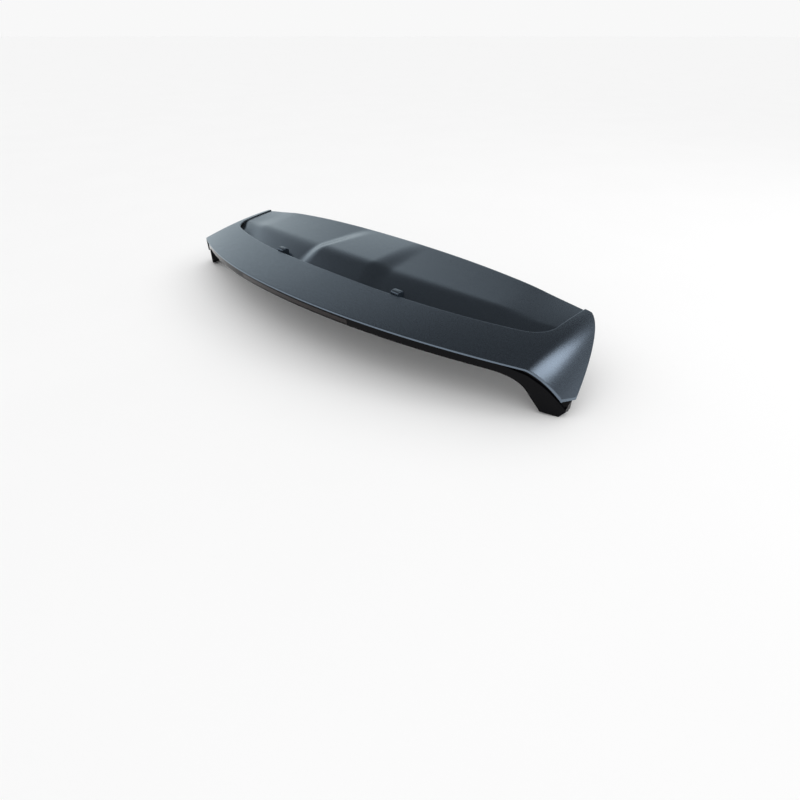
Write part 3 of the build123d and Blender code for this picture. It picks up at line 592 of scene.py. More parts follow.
@dataclass
class LowerTrim:
    """A gloss black channel below the tail, between two distances from the centre."""

    form: SpoilerForm
    name: str
    start_x: float
    end_x: float
    step: float = 2.5
    fill_step: float = 0.4
    corner_round: float = 1.2
    round_points: int = 4
    face_rows: int = 8
    roof_rows: int = 6
    fill_gap: float = 0.1
    steepest: float = 2.2

    def filled(self, x: float) -> float:
        """Share of the channel that is filled at a place, 1 in the outer wall of a leg."""
        wall_x = self.form.leg_out[0] - self.form.trim_wall
        return float(ramp(abs(x), wall_x - self.fill_step, wall_x))

    def levels(self, x: float) -> dict[str, float]:
        """Heights of the channel's corners at a distance from the centre, and the tail's place."""
        form = self.form
        tail, low = float(form.tail.line(x)), float(form.trim_low(x))
        floor = low + form.trim_wall * min(math.hypot(1.0, slope(form.trim_low, x)), self.steepest)
        ledge = max(float(form.ledge_top(x, tail + form.trim_setback)), floor + 2.0 * form.trim_wall)
        return {"tail": tail, "low": low, "floor": floor, "ledge": ledge}

    def section(self, x: float) -> Array:
        """Closed loop of the channel at a distance from the centre."""
        form, at = self.form, self.levels(x)
        round_ = self.corner_round
        turn = quarter_turn(self.round_points)
        face, recess, front = form.trim_setback, form.ledge_setback, float(form.trim_front(x))
        inner, recess_inner = (mix(outer + form.trim_wall, front - self.fill_gap, self.filled(x))
                               for outer in (face, recess))

        def roof(out: float, depth: float) -> float:
            """Height of a surface below the skin, at a setback from the tail."""
            return float(form.skin_below(x, at["tail"] + out, depth))

        over = form.skin_wall + form.fit_gap
        under = over + form.trim_wall
        top_rows = np.linspace(recess, front, self.roof_rows)
        wall_rows = np.linspace(at["ledge"] - round_, at["low"] + round_, self.face_rows + 2)
        out = np.concatenate([[recess, recess], face + round_ - round_ * np.sin(turn),
                              np.full(self.face_rows, face), face + round_ - round_ * np.cos(turn),
                              [front, front], [inner, inner], [recess_inner, recess_inner],
                              [front], top_rows[:0:-1]])
        high = np.concatenate([[roof(recess, over), at["ledge"]],
                               at["ledge"] - round_ + round_ * np.cos(turn), wall_rows[1:-1],
                               at["low"] + round_ - round_ * np.sin(turn),
                               [at["low"], at["floor"]], [at["floor"], at["ledge"] - form.trim_wall],
                               [at["ledge"] - form.trim_wall, roof(recess_inner, under)],
                               [roof(front, under)], [roof(float(o), over) for o in top_rows[:0:-1]]])
        return points_at(x, at["tail"] + out, high)

    def build(self) -> bpy.types.Object:
        """Loft the channel along the tail, closely where the leg turns down."""
        form = self.form
        count = max(2, round(abs(self.end_x - self.start_x) / self.step))
        places = np.linspace(self.start_x, self.end_x, count)
        wall_x = form.leg_out[0] - form.trim_wall
        turns = (form.leg_knee[0], form.foot_in[0], form.foot_out[0], wall_x - self.fill_step, wall_x)
        marks = [way * x for way in (-1.0, 1.0) for x in turns]
        low, high = sorted((self.start_x, self.end_x))
        places = np.unique(np.concatenate([places, [mark for mark in marks if low < mark < high]]))
        shell = ShellMesh()
        shell.add_loft(np.array([self.section(float(x)) for x in places]))
        return shell.build(self.name)


@dataclass
class CentreTrim(LowerTrim):
    """The middle channel, with the window of the stop lamp cut through its face."""

    def window(self) -> tuple[float, float]:
        """Distances below the tail of the window's lower and upper edges."""
        form = self.form
        low = form.trim_height - form.trim_wall - 2.0 * form.fit_gap
        return low, low - form.lens_height

    def split_section(self, x: float) -> tuple[Array, Array]:
        """The two loops of the channel beside the window: above it and below it."""
        whole, form = self.section(x), self.form
        tail, tail_z = float(form.tail.line(x)), float(form.tail.height(x))
        low, high = self.window()
        face, inner = tail + form.trim_setback, tail + form.trim_setback + form.trim_wall
        first_face = 2 + self.round_points
        after_face = first_face + self.face_rows + self.round_points
        sill = np.array([[x, face, tail_z - high], [x, inner, tail_z - high]])
        base = np.array([[x, inner, tail_z - low], [x, face, tail_z - low]])
        upper = np.concatenate([whole[:first_face], sill, whole[after_face + 3:]])
        lower = np.concatenate([base, whole[after_face - self.round_points:after_face + 3]])
        return upper, lower

    def build(self) -> bpy.types.Object:
        """Loft the two ends and the strips above and below the window."""
        half = self.form.lens_half
        shell = ShellMesh()
        for start, end in ((self.start_x, -half), (half, self.end_x)):
            places = np.linspace(start, end, round(abs(end - start) / self.step))
            shell.add_loft(np.array([self.section(float(x)) for x in places]))
        places = np.linspace(-half, half, round(2.0 * half / self.step))
        pairs = [self.split_section(float(x)) for x in places]
        shell.add_loft(np.array([upper for upper, _ in pairs]))
        shell.add_loft(np.array([lower for _, lower in pairs]))
        return shell.build(self.name)


@dataclass
class Strut:
    """A painted strut between the deck and the blade's front edge, with a round crown."""

    form: SpoilerForm
    x: float
    width: float = 24.0
    length: float = 22.0
    top_z: float = 52.0
    front_round: float = 10.0
    rear_round: float = 5.0
    edge_round: float = 2.5
    seat_gap: float = 0.2
    round_points: int = 9
    foot_points: int = 7

    def section(self, x: float, inset: float) -> Array:
        """Closed side view at a distance from the centre, drawn in by an inset near the flat sides."""
        form = self.form
        rear = float(form.blade.line(abs(self.x) + self.width / 2.0)) + form.fit_gap + inset
        front, top = rear + self.length - 2.0 * inset, self.top_z - inset
        bow, back = self.front_round - inset, self.rear_round - inset
        turn = quarter_turn(self.round_points)
        foot_y = np.linspace(rear, front, self.foot_points)
        y = np.concatenate([foot_y, front - bow + bow * np.cos(turn), rear + back - back * np.sin(turn)])
        z = np.concatenate([form.deck_top(x, foot_y) + self.seat_gap, top - bow + bow * np.sin(turn),
                            top - back + back * np.cos(turn)])
        return points_at(x, y, z)

    def build(self, name: str) -> bpy.types.Object:
        """Loft the side views from one rounded side to the other."""
        turn = quarter_turn(self.round_points)
        half, edge = self.width / 2.0, self.edge_round
        left, drawn = -half + edge - edge * np.cos(turn), edge - edge * np.sin(turn)
        reach = np.concatenate([left, -left[::-1]])
        inset = np.concatenate([drawn, drawn[::-1]])
        shell = ShellMesh()
        shell.add_loft(np.array([self.section(self.x + r, i) for r, i in zip(reach, inset)]))
        return shell.build(name)


SocketValue = Union["Sock", float]


def math_node(operation: str, swapped: bool = False) -> Callable[["Sock", SocketValue], "Sock"]:
    """Method of a socket that adds a Math node on it and another value, which comes first if swapped."""
    def apply(self: "Sock", other: SocketValue) -> "Sock":
        """Add the node."""
        values = (other, self) if swapped else (self, other)
        return self.owner.node("ShaderNodeMath", {"operation": operation}, dict(enumerate(values)))
    return apply


class Sock:
    """A node socket that takes part in Python expressions, each of which adds a Math node."""

    __add__, __radd__ = math_node("ADD"), math_node("ADD", swapped=True)
    __sub__, __rsub__ = math_node("SUBTRACT"), math_node("SUBTRACT", swapped=True)
    __mul__, __rmul__ = math_node("MULTIPLY"), math_node("MULTIPLY", swapped=True)
    __pow__ = math_node("POWER")

    def __init__(self, owner: "NodeTree", socket: bpy.types.NodeSocket) -> None:
        """Wrap a socket of a tree."""
        self.owner = owner
        self.socket = socket


class NodeTree:
    """A node tree under construction, with one way to add any node."""

    def __init__(self, tree: bpy.types.NodeTree) -> None:
        """Take a tree to add nodes to."""
        self.tree = tree

    def put(self, target: bpy.types.NodeSocket, value: Any) -> None:
        """Link a socket, or each of a list of sockets, or set its value."""
        if isinstance(value, list):
            for item in value:
                self.tree.links.new(item.socket, target)
        elif isinstance(value, Sock):
            self.tree.links.new(value.socket, target)
        else:
            target.default_value = value

    def node(self, kind: str, settings: dict[str, Any] | None = None, inputs: dict[Any, Any] | None = None,
             output: int | str = 0) -> Sock:
        """Add any node.

        Args:
            kind: Type of the node.
            settings: Its properties; stops gives a colour ramp's places and colours.
            inputs: Values or links of its sockets, by name or place.
            output: Name or place of the output to use.

        Returns:
            The chosen output.
        """
        node = self.tree.nodes.new(kind)
        for key, value in (settings or {}).items():
            if key == "stops":
                while len(node.color_ramp.elements) < len(value):
                    node.color_ramp.elements.new(1.0)
                for element, (place, colour) in zip(node.color_ramp.elements, value):
                    element.position = place
                    element.color = (*colour, 1.0)
            else:
                setattr(node, key, value)
        for key, value in (inputs or {}).items():
            self.put(node.inputs[key], value)
        return Sock(self, node.outputs[output] if len(node.outputs) else None)


class Shader(NodeTree):
    """A material under construction, with a Principled shader on its output."""

    def __init__(self, name: str) -> None:
        """Start the material."""
        self.material = bpy.data.materials.new(name)
        self.material.use_nodes = True
        super().__init__(self.material.node_tree)
        self.tree.nodes.clear()
        self.principled = self.tree.nodes.new("ShaderNodeBsdfPrincipled")
        self.node("ShaderNodeOutputMaterial", {}, {"Surface": Sock(self, self.principled.outputs["BSDF"])})

    def place(self, scale: Sequence[float] = (1.0, 1.0, 1.0),
              turn: Sequence[float] = (0.0, 0.0, 0.0)) -> Sock:
        """Object coordinates, stretched and turned."""
        coordinates = self.node("ShaderNodeTexCoord", output="Object")
        return self.node("ShaderNodeMapping", {}, {"Vector": coordinates, "Scale": scale, "Rotation": turn})

    def noise(self, scale: float, detail: float = 2.0, where: Sock | None = None) -> Sock:
        """Smooth noise between about 0 and 1, with a scale per metre."""
        return self.node("ShaderNodeTexNoise", {}, {"Vector": where or self.place(), "Scale": scale,
                                                    "Detail": detail, "Roughness": 0.5}, "Fac")

    def blend(self, first: Colour | Sock, second: Colour | Sock, share: SocketValue) -> Sock:
        """Colour that lies a share of the way from the first to the second."""
        ends = [end if isinstance(end, Sock) else (*end, 1.0) for end in (first, second)]
        return self.node("ShaderNodeMix", {"data_type": "RGBA"},
                         {"Factor": share, 6: ends[0], 7: ends[1]}, 2)

    def bump(self, height: Sock, strength: float, distance: float) -> Sock:
        """Normal from a height, with the relief's depth in metres."""
        return self.node("ShaderNodeBump", {},
                         {"Height": height, "Strength": strength, "Distance": distance})

    def finish(self, **sockets: Any) -> bpy.types.Material:
        """Set the Principled sockets, named with underscores, and give the material."""
        for key, value in sockets.items():
            self.put(self.principled.inputs[key.replace("_", " ")], value)
        return self.material


class Growth(NodeTree):
    """A Geometry Nodes tree under construction, run once on a carrier and kept as a plain mesh."""

    def __init__(self, name: str) -> None:
        """Start a tree that takes and gives geometry."""
        super().__init__(bpy.data.node_groups.new(name, "GeometryNodeTree"))
        self.name = name
        self.values: dict[str, Any] = {}
        self.tree.interface.new_socket("Geometry", in_out="OUTPUT", socket_type="NodeSocketGeometry")
        self.tree.interface.new_socket("Geometry", in_out="INPUT", socket_type="NodeSocketGeometry")
        self.entry = self.tree.nodes.new("NodeGroupInput")

    def carrier(self) -> Sock:
        """The geometry that the tree is run on."""
        return Sock(self, self.entry.outputs["Geometry"])

    def value(self, name: str, kind: str, value: Any) -> Sock:
        """Add a named input and the value that it is run with."""
        item = self.tree.interface.new_socket(name, in_out="INPUT", socket_type=kind)
        self.values[item.identifier] = value
        return Sock(self, self.entry.outputs[name])

    def run(self, geometry: Sock, points: Array, edges: Sequence[Sequence[int]],
            material: bpy.types.Material) -> bpy.types.Object:
        """Run the tree.

        Args:
            geometry: What the tree gives, before its instances are made real.
            points: Points of the carrier, in millimetres.
            edges: Edges of the carrier.
            material: Material of the result.

        Returns:
            A plain mesh object.
        """
        real = self.node("GeometryNodeRealizeInstances", {}, {"Geometry": geometry})
        skin = self.value("Skin", "NodeSocketMaterial", material)
        dressed = self.node("GeometryNodeSetMaterial", {}, {"Geometry": real, "Material": skin})
        self.node("NodeGroupOutput", {}, {"Geometry": dressed})
        mesh = bpy.data.meshes.new(self.name)
        mesh.from_pydata((np.asarray(points) * MM).tolist(), edges, [])
        piece = add_object(self.name, mesh)
        modifier = piece.modifiers.new(self.name, "NODES")
        modifier.node_group = self.tree
        for key, value in self.values.items():
            modifier[key] = value
        graph = bpy.context.evaluated_depsgraph_get()
        grown = bpy.data.meshes.new_from_object(piece.evaluated_get(graph), depsgraph=graph)
        piece.modifiers.remove(modifier)
        piece.data = grown
        shade(grown)
        return piece


def solid_boxes(name: str) -> list[tuple[Array, Array]]:
    """Lower and upper corner of each solid of a node, in millimetres, read from its mesh."""
    node = bpy.data.objects[name]
    shell = bmesh.new()
    shell.from_mesh(node.data)
    shell.transform(node.matrix_world)
    bmesh.ops.remove_doubles(shell, verts=shell.verts, dist=WELD)
    waiting = set(shell.verts)
    boxes = []
    while waiting:
        front, found = [waiting.pop()], []
        while front:
            vert = front.pop()
            found.append(vert.co[:])
            near = {edge.other_vert(vert) for edge in vert.link_edges} & waiting
            waiting -= near
            front += near
        corners = np.array(found) / MM
        boxes.append((corners.min(axis=0), corners.max(axis=0)))
    shell.free()
    return boxes


def lathe(profile: Profile, sides: int = 36) -> Array:
    """Loops of a turned piece from its radii and heights; few sides give a prism."""
    turn = np.linspace(0.0, 2.0 * math.pi, sides, endpoint=False)
    return np.array([points_at(radius * np.cos(turn), radius * np.sin(turn), height)
                     for radius, height in profile])


def thread(radius: float, start: float, end: float, pitch: float, depth: float = 0.3) -> Profile:
    """Radii and heights of a threaded length, its roots a share of the pitch below its crests."""
    steps = 2 * round(abs(end - start) / pitch)
    return [(radius - depth * pitch * (k % 2), mix(start, end, k / steps)) for k in range(steps + 1)]


def disc(radius: float, low: float, high: float, bevel: float) -> Profile:
    """Radii and heights of a disc with bevelled edges."""
    return [(radius - bevel, low), (radius, low + bevel), (radius, high - bevel), (radius - bevel, high)]


@dataclass
class Fixings:
    """The fixings of one node, each grown on a point at the foot of its solid, or below a seat."""

    node: str
    seat: Callable[[float, float], float] | None = None
    length: float | None = None
    bevel: float = 0.4

    def solids(self, height: float) -> list[Array]:
        """Loops of one fixing that stands on its foot and has a height."""
        raise NotImplementedError

    def build(self, material: bpy.types.Material) -> bpy.types.Object:
        """Make one fixing and repeat it on the feet of the node's solids."""
        boxes = solid_boxes(self.node)
        feet = [[*(0.5 * (low + high))[:2], low[2]] for low, high in boxes]
        if self.seat:
            feet = [[x, y, float(self.seat(x, y))] for x, y, _ in feet]
        shell = ShellMesh()
        for loops in self.solids(self.length or float(np.mean([high[2] - low[2] for low, high in boxes]))):
            shell.add_loft(loops)
        pattern = shell.build(f"{self.node}_pattern")
        growth = Growth(f"{self.node}_set")
        chosen = growth.value("Pattern", "NodeSocketObject", pattern)
        shape = growth.node("GeometryNodeObjectInfo", {"transform_space": "ORIGINAL"}, {"Object": chosen},
                            "Geometry")
        copies = growth.node("GeometryNodeInstanceOnPoints", {},
                             {"Points": growth.carrier(), "Instance": shape})
        piece = growth.run(copies, np.array(feet), [], material)
        bpy.data.objects.remove(pattern)
        return piece


@dataclass
class Screws(Fixings):
    """Hexagon screws with a washer face and a socket, heads down."""

    bevel: float = 0.6
    corner: float = 4.4
    head: float = 3.0
    head_sides: int = 6
    washer: float = 0.8
    washer_flare: float = 0.1
    socket: float = 1.7
    socket_depth: float = 1.5
    socket_taper: float = 0.9
    shank: float = 2.0
    shank_sides: int = 20
    tip_taper: float = 0.5
    pitch: float = 1.2

    def solids(self, height: float) -> list[Array]:
        """Head, washer face and thread."""
        seat = self.head - self.washer
        head = [(self.socket * self.socket_taper, self.socket_depth), (self.socket, 0.0),
                (self.corner - self.bevel, 0.0), (self.corner, self.bevel), (self.corner, seat)]
        washer = [(self.corner, seat), (self.corner + self.washer_flare, self.head)]
        shank = thread(self.shank, self.head, height - self.pitch, self.pitch)
        shank.append((self.shank * self.tip_taper, height))
        return [lathe(head, self.head_sides), lathe(washer), lathe(shank, self.shank_sides)]


@dataclass
class Studs(Fixings):
    """Threaded studs with a round flange, their thread down."""

    radius: float = 3.0
    shank_sides: int = 24
    flange: float = 6.5
    flange_low: float = 19.7
    flange_thick: float = 2.0
    pitch: float = 1.0

    def solids(self, height: float) -> list[Array]:
        """Shank with its thread, and flange."""
        worked = thread(self.radius, self.pitch, self.flange_low, self.pitch)
        shank = [(self.radius - self.pitch, 0.0), *worked, (self.radius, height)]
        flange = disc(self.flange, self.flange_low, self.flange_low + self.flange_thick, self.bevel)
        return [lathe(shank, self.shank_sides), lathe(flange)]


@dataclass
class Clips(Fixings):
    """Push clips with a stepped barb below a round head, and a neck above it."""

    head: float = 7.0
    head_thick: float = 2.0
    neck: float = 2.0
    neck_long: float = 9.0
    neck_sides: int = 20
    tip: float = 1.2
    barb: float = 3.4
    barb_sides: int = 24
    fins: int = 4
    fin_lift: float = 0.8
    waist: float = 0.68

    def solids(self, height: float) -> list[Array]:
        """Barb, head and neck."""
        seat = height - self.neck_long - self.head_thick
        top = seat + self.head_thick
        barb = [(self.tip, 0.0)]
        for fin in range(self.fins):
            rise = seat * (fin + self.fin_lift) / self.fins
            wide = mix(self.tip, self.barb, (fin + 1.0) / self.fins)
            barb += [(wide, rise), (wide * self.waist, rise + self.bevel)]
        barb.append((self.barb * self.waist, seat))
        neck = [(self.neck, top), (self.neck, height)]
        return [lathe(barb, self.barb_sides), lathe(disc(self.head, seat, top, self.bevel)),
                lathe(neck, self.neck_sides)]


@dataclass
class FrontSeal:
    """A rubber strip with round edges, swept along the underside of the deck's front edge."""

    form: SpoilerForm
    half: float = 563.0
    width: float = 7.0
    height: float = 5.0
    overhang: float = 1.5
    drop: float = 10.8
    corner: float = 1.6
    corner_steps: int = 5
    steps: int = 220

    def build(self, material: bpy.types.Material) -> bpy.types.Object:
        """Sweep the filleted section along the edge by a node tree."""
        form = self.form
        x = np.linspace(-self.half, self.half, self.steps)
        edge = form.front.line(x)
        y = edge + self.overhang - self.width / 2.0
        z = form.deck_top(x, edge - form.deck_wall) - self.drop - self.height / 2.0
        growth = Growth("front_seal_strip")
        wide = growth.value("Width", "NodeSocketFloat", self.width * MM)
        tall = growth.value("Height", "NodeSocketFloat", self.height * MM)
        corner = growth.value("Corner", "NodeSocketFloat", self.corner * MM)
        path = growth.node("GeometryNodeMeshToCurve", {}, {"Mesh": growth.carrier()})
        path = growth.node("GeometryNodeSetCurveNormal", {"mode": "Z_UP"}, {"Curve": path})
        section = growth.node("GeometryNodeCurvePrimitiveQuadrilateral", {}, {"Width": wide, "Height": tall})
        section = growth.node("GeometryNodeFilletCurve", {"mode": "POLY"},
                              {"Curve": section, "Radius": corner, "Count": self.corner_steps})
        strip = growth.node("GeometryNodeCurveToMesh", {},
                            {"Curve": path, "Profile Curve": section, "Fill Caps": True})
        pairs = [(k, k + 1) for k in range(self.steps - 1)]
        return growth.run(strip, points_at(x, y, z), pairs, material)


@dataclass(frozen=True)
class BaseFinish:
    """What every finish has: the name of its material, and two colours that its pattern mixes."""

    name: str
    colour: Colour
    second: Colour

    def build(self) -> bpy.types.Material:
        """Make the material."""
        raise NotImplementedError


@dataclass(frozen=True)
class PaintFinish(BaseFinish):
    """Satin metallic paint: flakes, a little haze and a fine peel, with black on marked faces as bare
    plastic and painted shade.
    """

    metallic: float = 0.94
    roughness: float = 0.27
    flake_scale: float = 2600.0
    flake_share: float = 0.4
    flake_rough: float = 0.04
    haze_scale: float = 9.0
    haze_share: float = 0.05
    haze_rough: float = 0.03
    peel_scale: float = 420.0
    peel_strength: float = 0.03
    peel_depth: float = 0.0004
    coat: float = 0.12
    coat_roughness: float = 0.18
    # Black of the marked faces: bare plastic inside, and painted shade on the rim's inner wall.
    bare_and_shade_colour: Colour = (0.010, 0.010, 0.011)
    bare_and_shade_rough: float = 0.25
    glance: tuple[float, float, float, float] = (0.89, 0.98, 1.0, 1.0)

    def build(self) -> bpy.types.Material:
        """Make the material: paint, or black where a face is marked: bare plastic inside, and painted shade
        on the rim's inner wall.
        """
        shader = Shader(self.name)
        # Mark of the faces turned black: bare plastic, and painted shade on the rim's inner wall.
        bare = shader.node("ShaderNodeAttribute", {"attribute_name": BARE_AND_SHADE}, output="Fac")
        flakes = shader.node("ShaderNodeTexVoronoi", {"feature": "F1"},
                             {"Vector": shader.place(), "Scale": self.flake_scale}, "Color")
        glint = shader.node("ShaderNodeSeparateColor", {}, {0: flakes}, 0)
        haze = shader.noise(self.haze_scale, 3.0)
        share = self.flake_share * glint ** 2.0 + self.haze_share * haze
        paint = shader.blend(self.colour, self.second, share)
        least = self.roughness - 0.5 * (self.haze_rough + self.flake_rough)
        rough = self.haze_rough * haze + self.flake_rough * glint + self.bare_and_shade_rough * bare + least
        peel = shader.bump(shader.noise(self.peel_scale), self.peel_strength, self.peel_depth)
        return shader.finish(Base_Color=shader.blend(paint, self.bare_and_shade_colour, bare), Roughness=rough,
                             Metallic=self.metallic * (1.0 - bare), Specular_Tint=self.glance,
                             Coat_Weight=self.coat * (1.0 - bare), Coat_Roughness=self.coat_roughness,
                             Normal=peel)


@dataclass(frozen=True)
class GlossFinish(BaseFinish):
    """Gloss moulded plastic with a faint veil of fine dust."""

    roughness: float = 0.06
    shine: float = 0.08
    dust_scale: float = 60.0
    dust_fineness: float = 14.0
    dust_share: float = 0.10
    dust_rough: float = 0.6
    peel_scale: float = 260.0
    peel_strength: float = 0.02
    peel_depth: float = 0.0004

    def build(self) -> bpy.types.Material:
        """Make the material."""
        shader = Shader(self.name)
        veil = shader.noise(self.dust_scale, 5.0)
        share = self.dust_share * veil * shader.noise(self.dust_scale * self.dust_fineness, 3.0)
        peel = shader.bump(shader.noise(self.peel_scale), self.peel_strength, self.peel_depth)
        return shader.finish(Base_Color=shader.blend(self.colour, self.second, share),
                             Roughness=self.dust_rough * share + self.roughness,
                             Specular_IOR_Level=self.shine, Normal=peel)


@dataclass(frozen=True)
class LensFinish(BaseFinish):
    """Smoked clear plastic that lets the lamp's inside show a little."""

    roughness: float = 0.05
    shine: float = 0.2
    clearness: float = 0.55
    refraction: float = 1.49
    streak_scale: float = 40.0
    streak_rough: float = 0.03

    def build(self) -> bpy.types.Material:
        """Make the material."""
        shader = Shader(self.name)
        streak = shader.noise(self.streak_scale)
        return shader.finish(Base_Color=shader.blend(self.colour, self.second, streak),
                             Roughness=self.streak_rough * streak + self.roughness, IOR=self.refraction,
                             Transmission_Weight=self.clearness, Specular_IOR_Level=self.shine)


@dataclass(frozen=True)
class MouldedFinish(BaseFinish):
    """Matte moulded plastic, foam or rubber with a grain of its own scale."""

    roughness: float
    grain_scale: float
    grain_depth: float
    strength: float = 0.4
    grain_share: float = 0.5
    patch_size: float = 30.0
    patch_share: float = 0.4
    patch_rough: float = 0.12

    def build(self) -> bpy.types.Material:
        """Make the material."""
        shader = Shader(self.name)
        grain = shader.noise(self.grain_scale, 4.0)
        patch = shader.noise(self.grain_scale / self.patch_size, 3.0)
        share = self.grain_share * grain + self.patch_share * patch
        return shader.finish(Base_Color=shader.blend(self.colour, self.second, share),
                             Roughness=self.patch_rough * (patch - 0.5) + self.roughness,
                             Normal=shader.bump(grain, self.strength, self.grain_depth))


@dataclass(frozen=True)
class PlatedFinish(BaseFinish):
    """Zinc-plated steel with fine turning marks and a passivated tint."""

    roughness: float = 0.34
    tint_scale: float = 120.0
    mark_scale: float = 900.0
    mark_stretch: tuple[float, float, float] = (0.2, 0.2, 3.0)
    mark_rough: float = 0.16
    mark_strength: float = 0.25
    mark_depth: float = 0.0002

    def build(self) -> bpy.types.Material:
        """Make the material."""
        shader = Shader(self.name)
        tint = shader.noise(self.tint_scale, 3.0)
        marks = shader.noise(self.mark_scale, 2.0, shader.place(self.mark_stretch))
        return shader.finish(Base_Color=shader.blend(self.colour, self.second, tint), Metallic=1.0,
                             Roughness=self.mark_rough * (marks - 0.5) + self.roughness,
                             Normal=shader.bump(marks, self.mark_strength, self.mark_depth))


@dataclass(frozen=True)
class BoardFinish(BaseFinish):
    """Circuit board lacquer over copper tracks."""

    roughness: float = 0.3
    track_rough: float = 0.1
    track_scale: float = 160.0
    track_width: float = 0.02

    def build(self) -> bpy.types.Material:
        """Make the material."""
        shader = Shader(self.name)
        face = shader.place(turn=(math.pi / 2.0, 0.0, 0.0))
        lanes = shader.node("ShaderNodeTexBrick", {"offset": 0.5}, {
            "Vector": face, "Scale": self.track_scale, "Mortar Size": self.track_width}, "Fac")
        return shader.finish(Base_Color=shader.blend(self.colour, self.second, lanes),
                             Roughness=self.track_rough * lanes + self.roughness)


class Finish(Enum):
    """The finishes of the spoiler's pieces."""

    SKIN = PaintFinish("skin_paint", (0.131, 0.163, 0.206), (0.28, 0.35, 0.43))
    DECK = PaintFinish("deck_paint", (0.129, 0.160, 0.202), (0.28, 0.35, 0.43), roughness=0.29)
    STRUT = PaintFinish("strut_paint", (0.121, 0.150, 0.188), (0.26, 0.33, 0.40), roughness=0.33)
    TRIM = GlossFinish("trim_black", (0.003, 0.003, 0.004), (0.03, 0.03, 0.034))
    LENS = LensFinish("lens_smoke", (0.016, 0.004, 0.004), (0.009, 0.003, 0.003))
    HOUSING = MouldedFinish("housing_plastic", (0.030, 0.030, 0.031), (0.075, 0.075, 0.077), 0.55, 1500.0,
                            0.0002)
    BOARD = BoardFinish("board_green", (0.020, 0.110, 0.045), (0.36, 0.24, 0.09))
    LED = MouldedFinish("led_yellow", (0.72, 0.60, 0.20), (0.85, 0.78, 0.45), 0.30, 1200.0, 0.0001)
    SCREW = PlatedFinish("screw_zinc", (0.50, 0.50, 0.48), (0.58, 0.55, 0.44))
    STUD = PlatedFinish("stud_zinc", (0.52, 0.52, 0.50), (0.60, 0.57, 0.46), roughness=0.30)
    CLIP = MouldedFinish("clip_white", (0.62, 0.61, 0.57), (0.74, 0.73, 0.69), 0.45, 900.0, 0.0002)
    FOAM = MouldedFinish("foam_black", (0.012, 0.012, 0.012), (0.045, 0.045, 0.045), 0.92, 700.0, 0.0008,
                         0.8)
    RUBBER = MouldedFinish("rubber_black", (0.010, 0.010, 0.010), (0.030, 0.030, 0.030), 0.62, 1100.0,
                           0.0003)
    TAPE = MouldedFinish("tape_foam", (0.060, 0.060, 0.062), (0.130, 0.130, 0.132), 0.85, 600.0, 0.0006, 0.7)


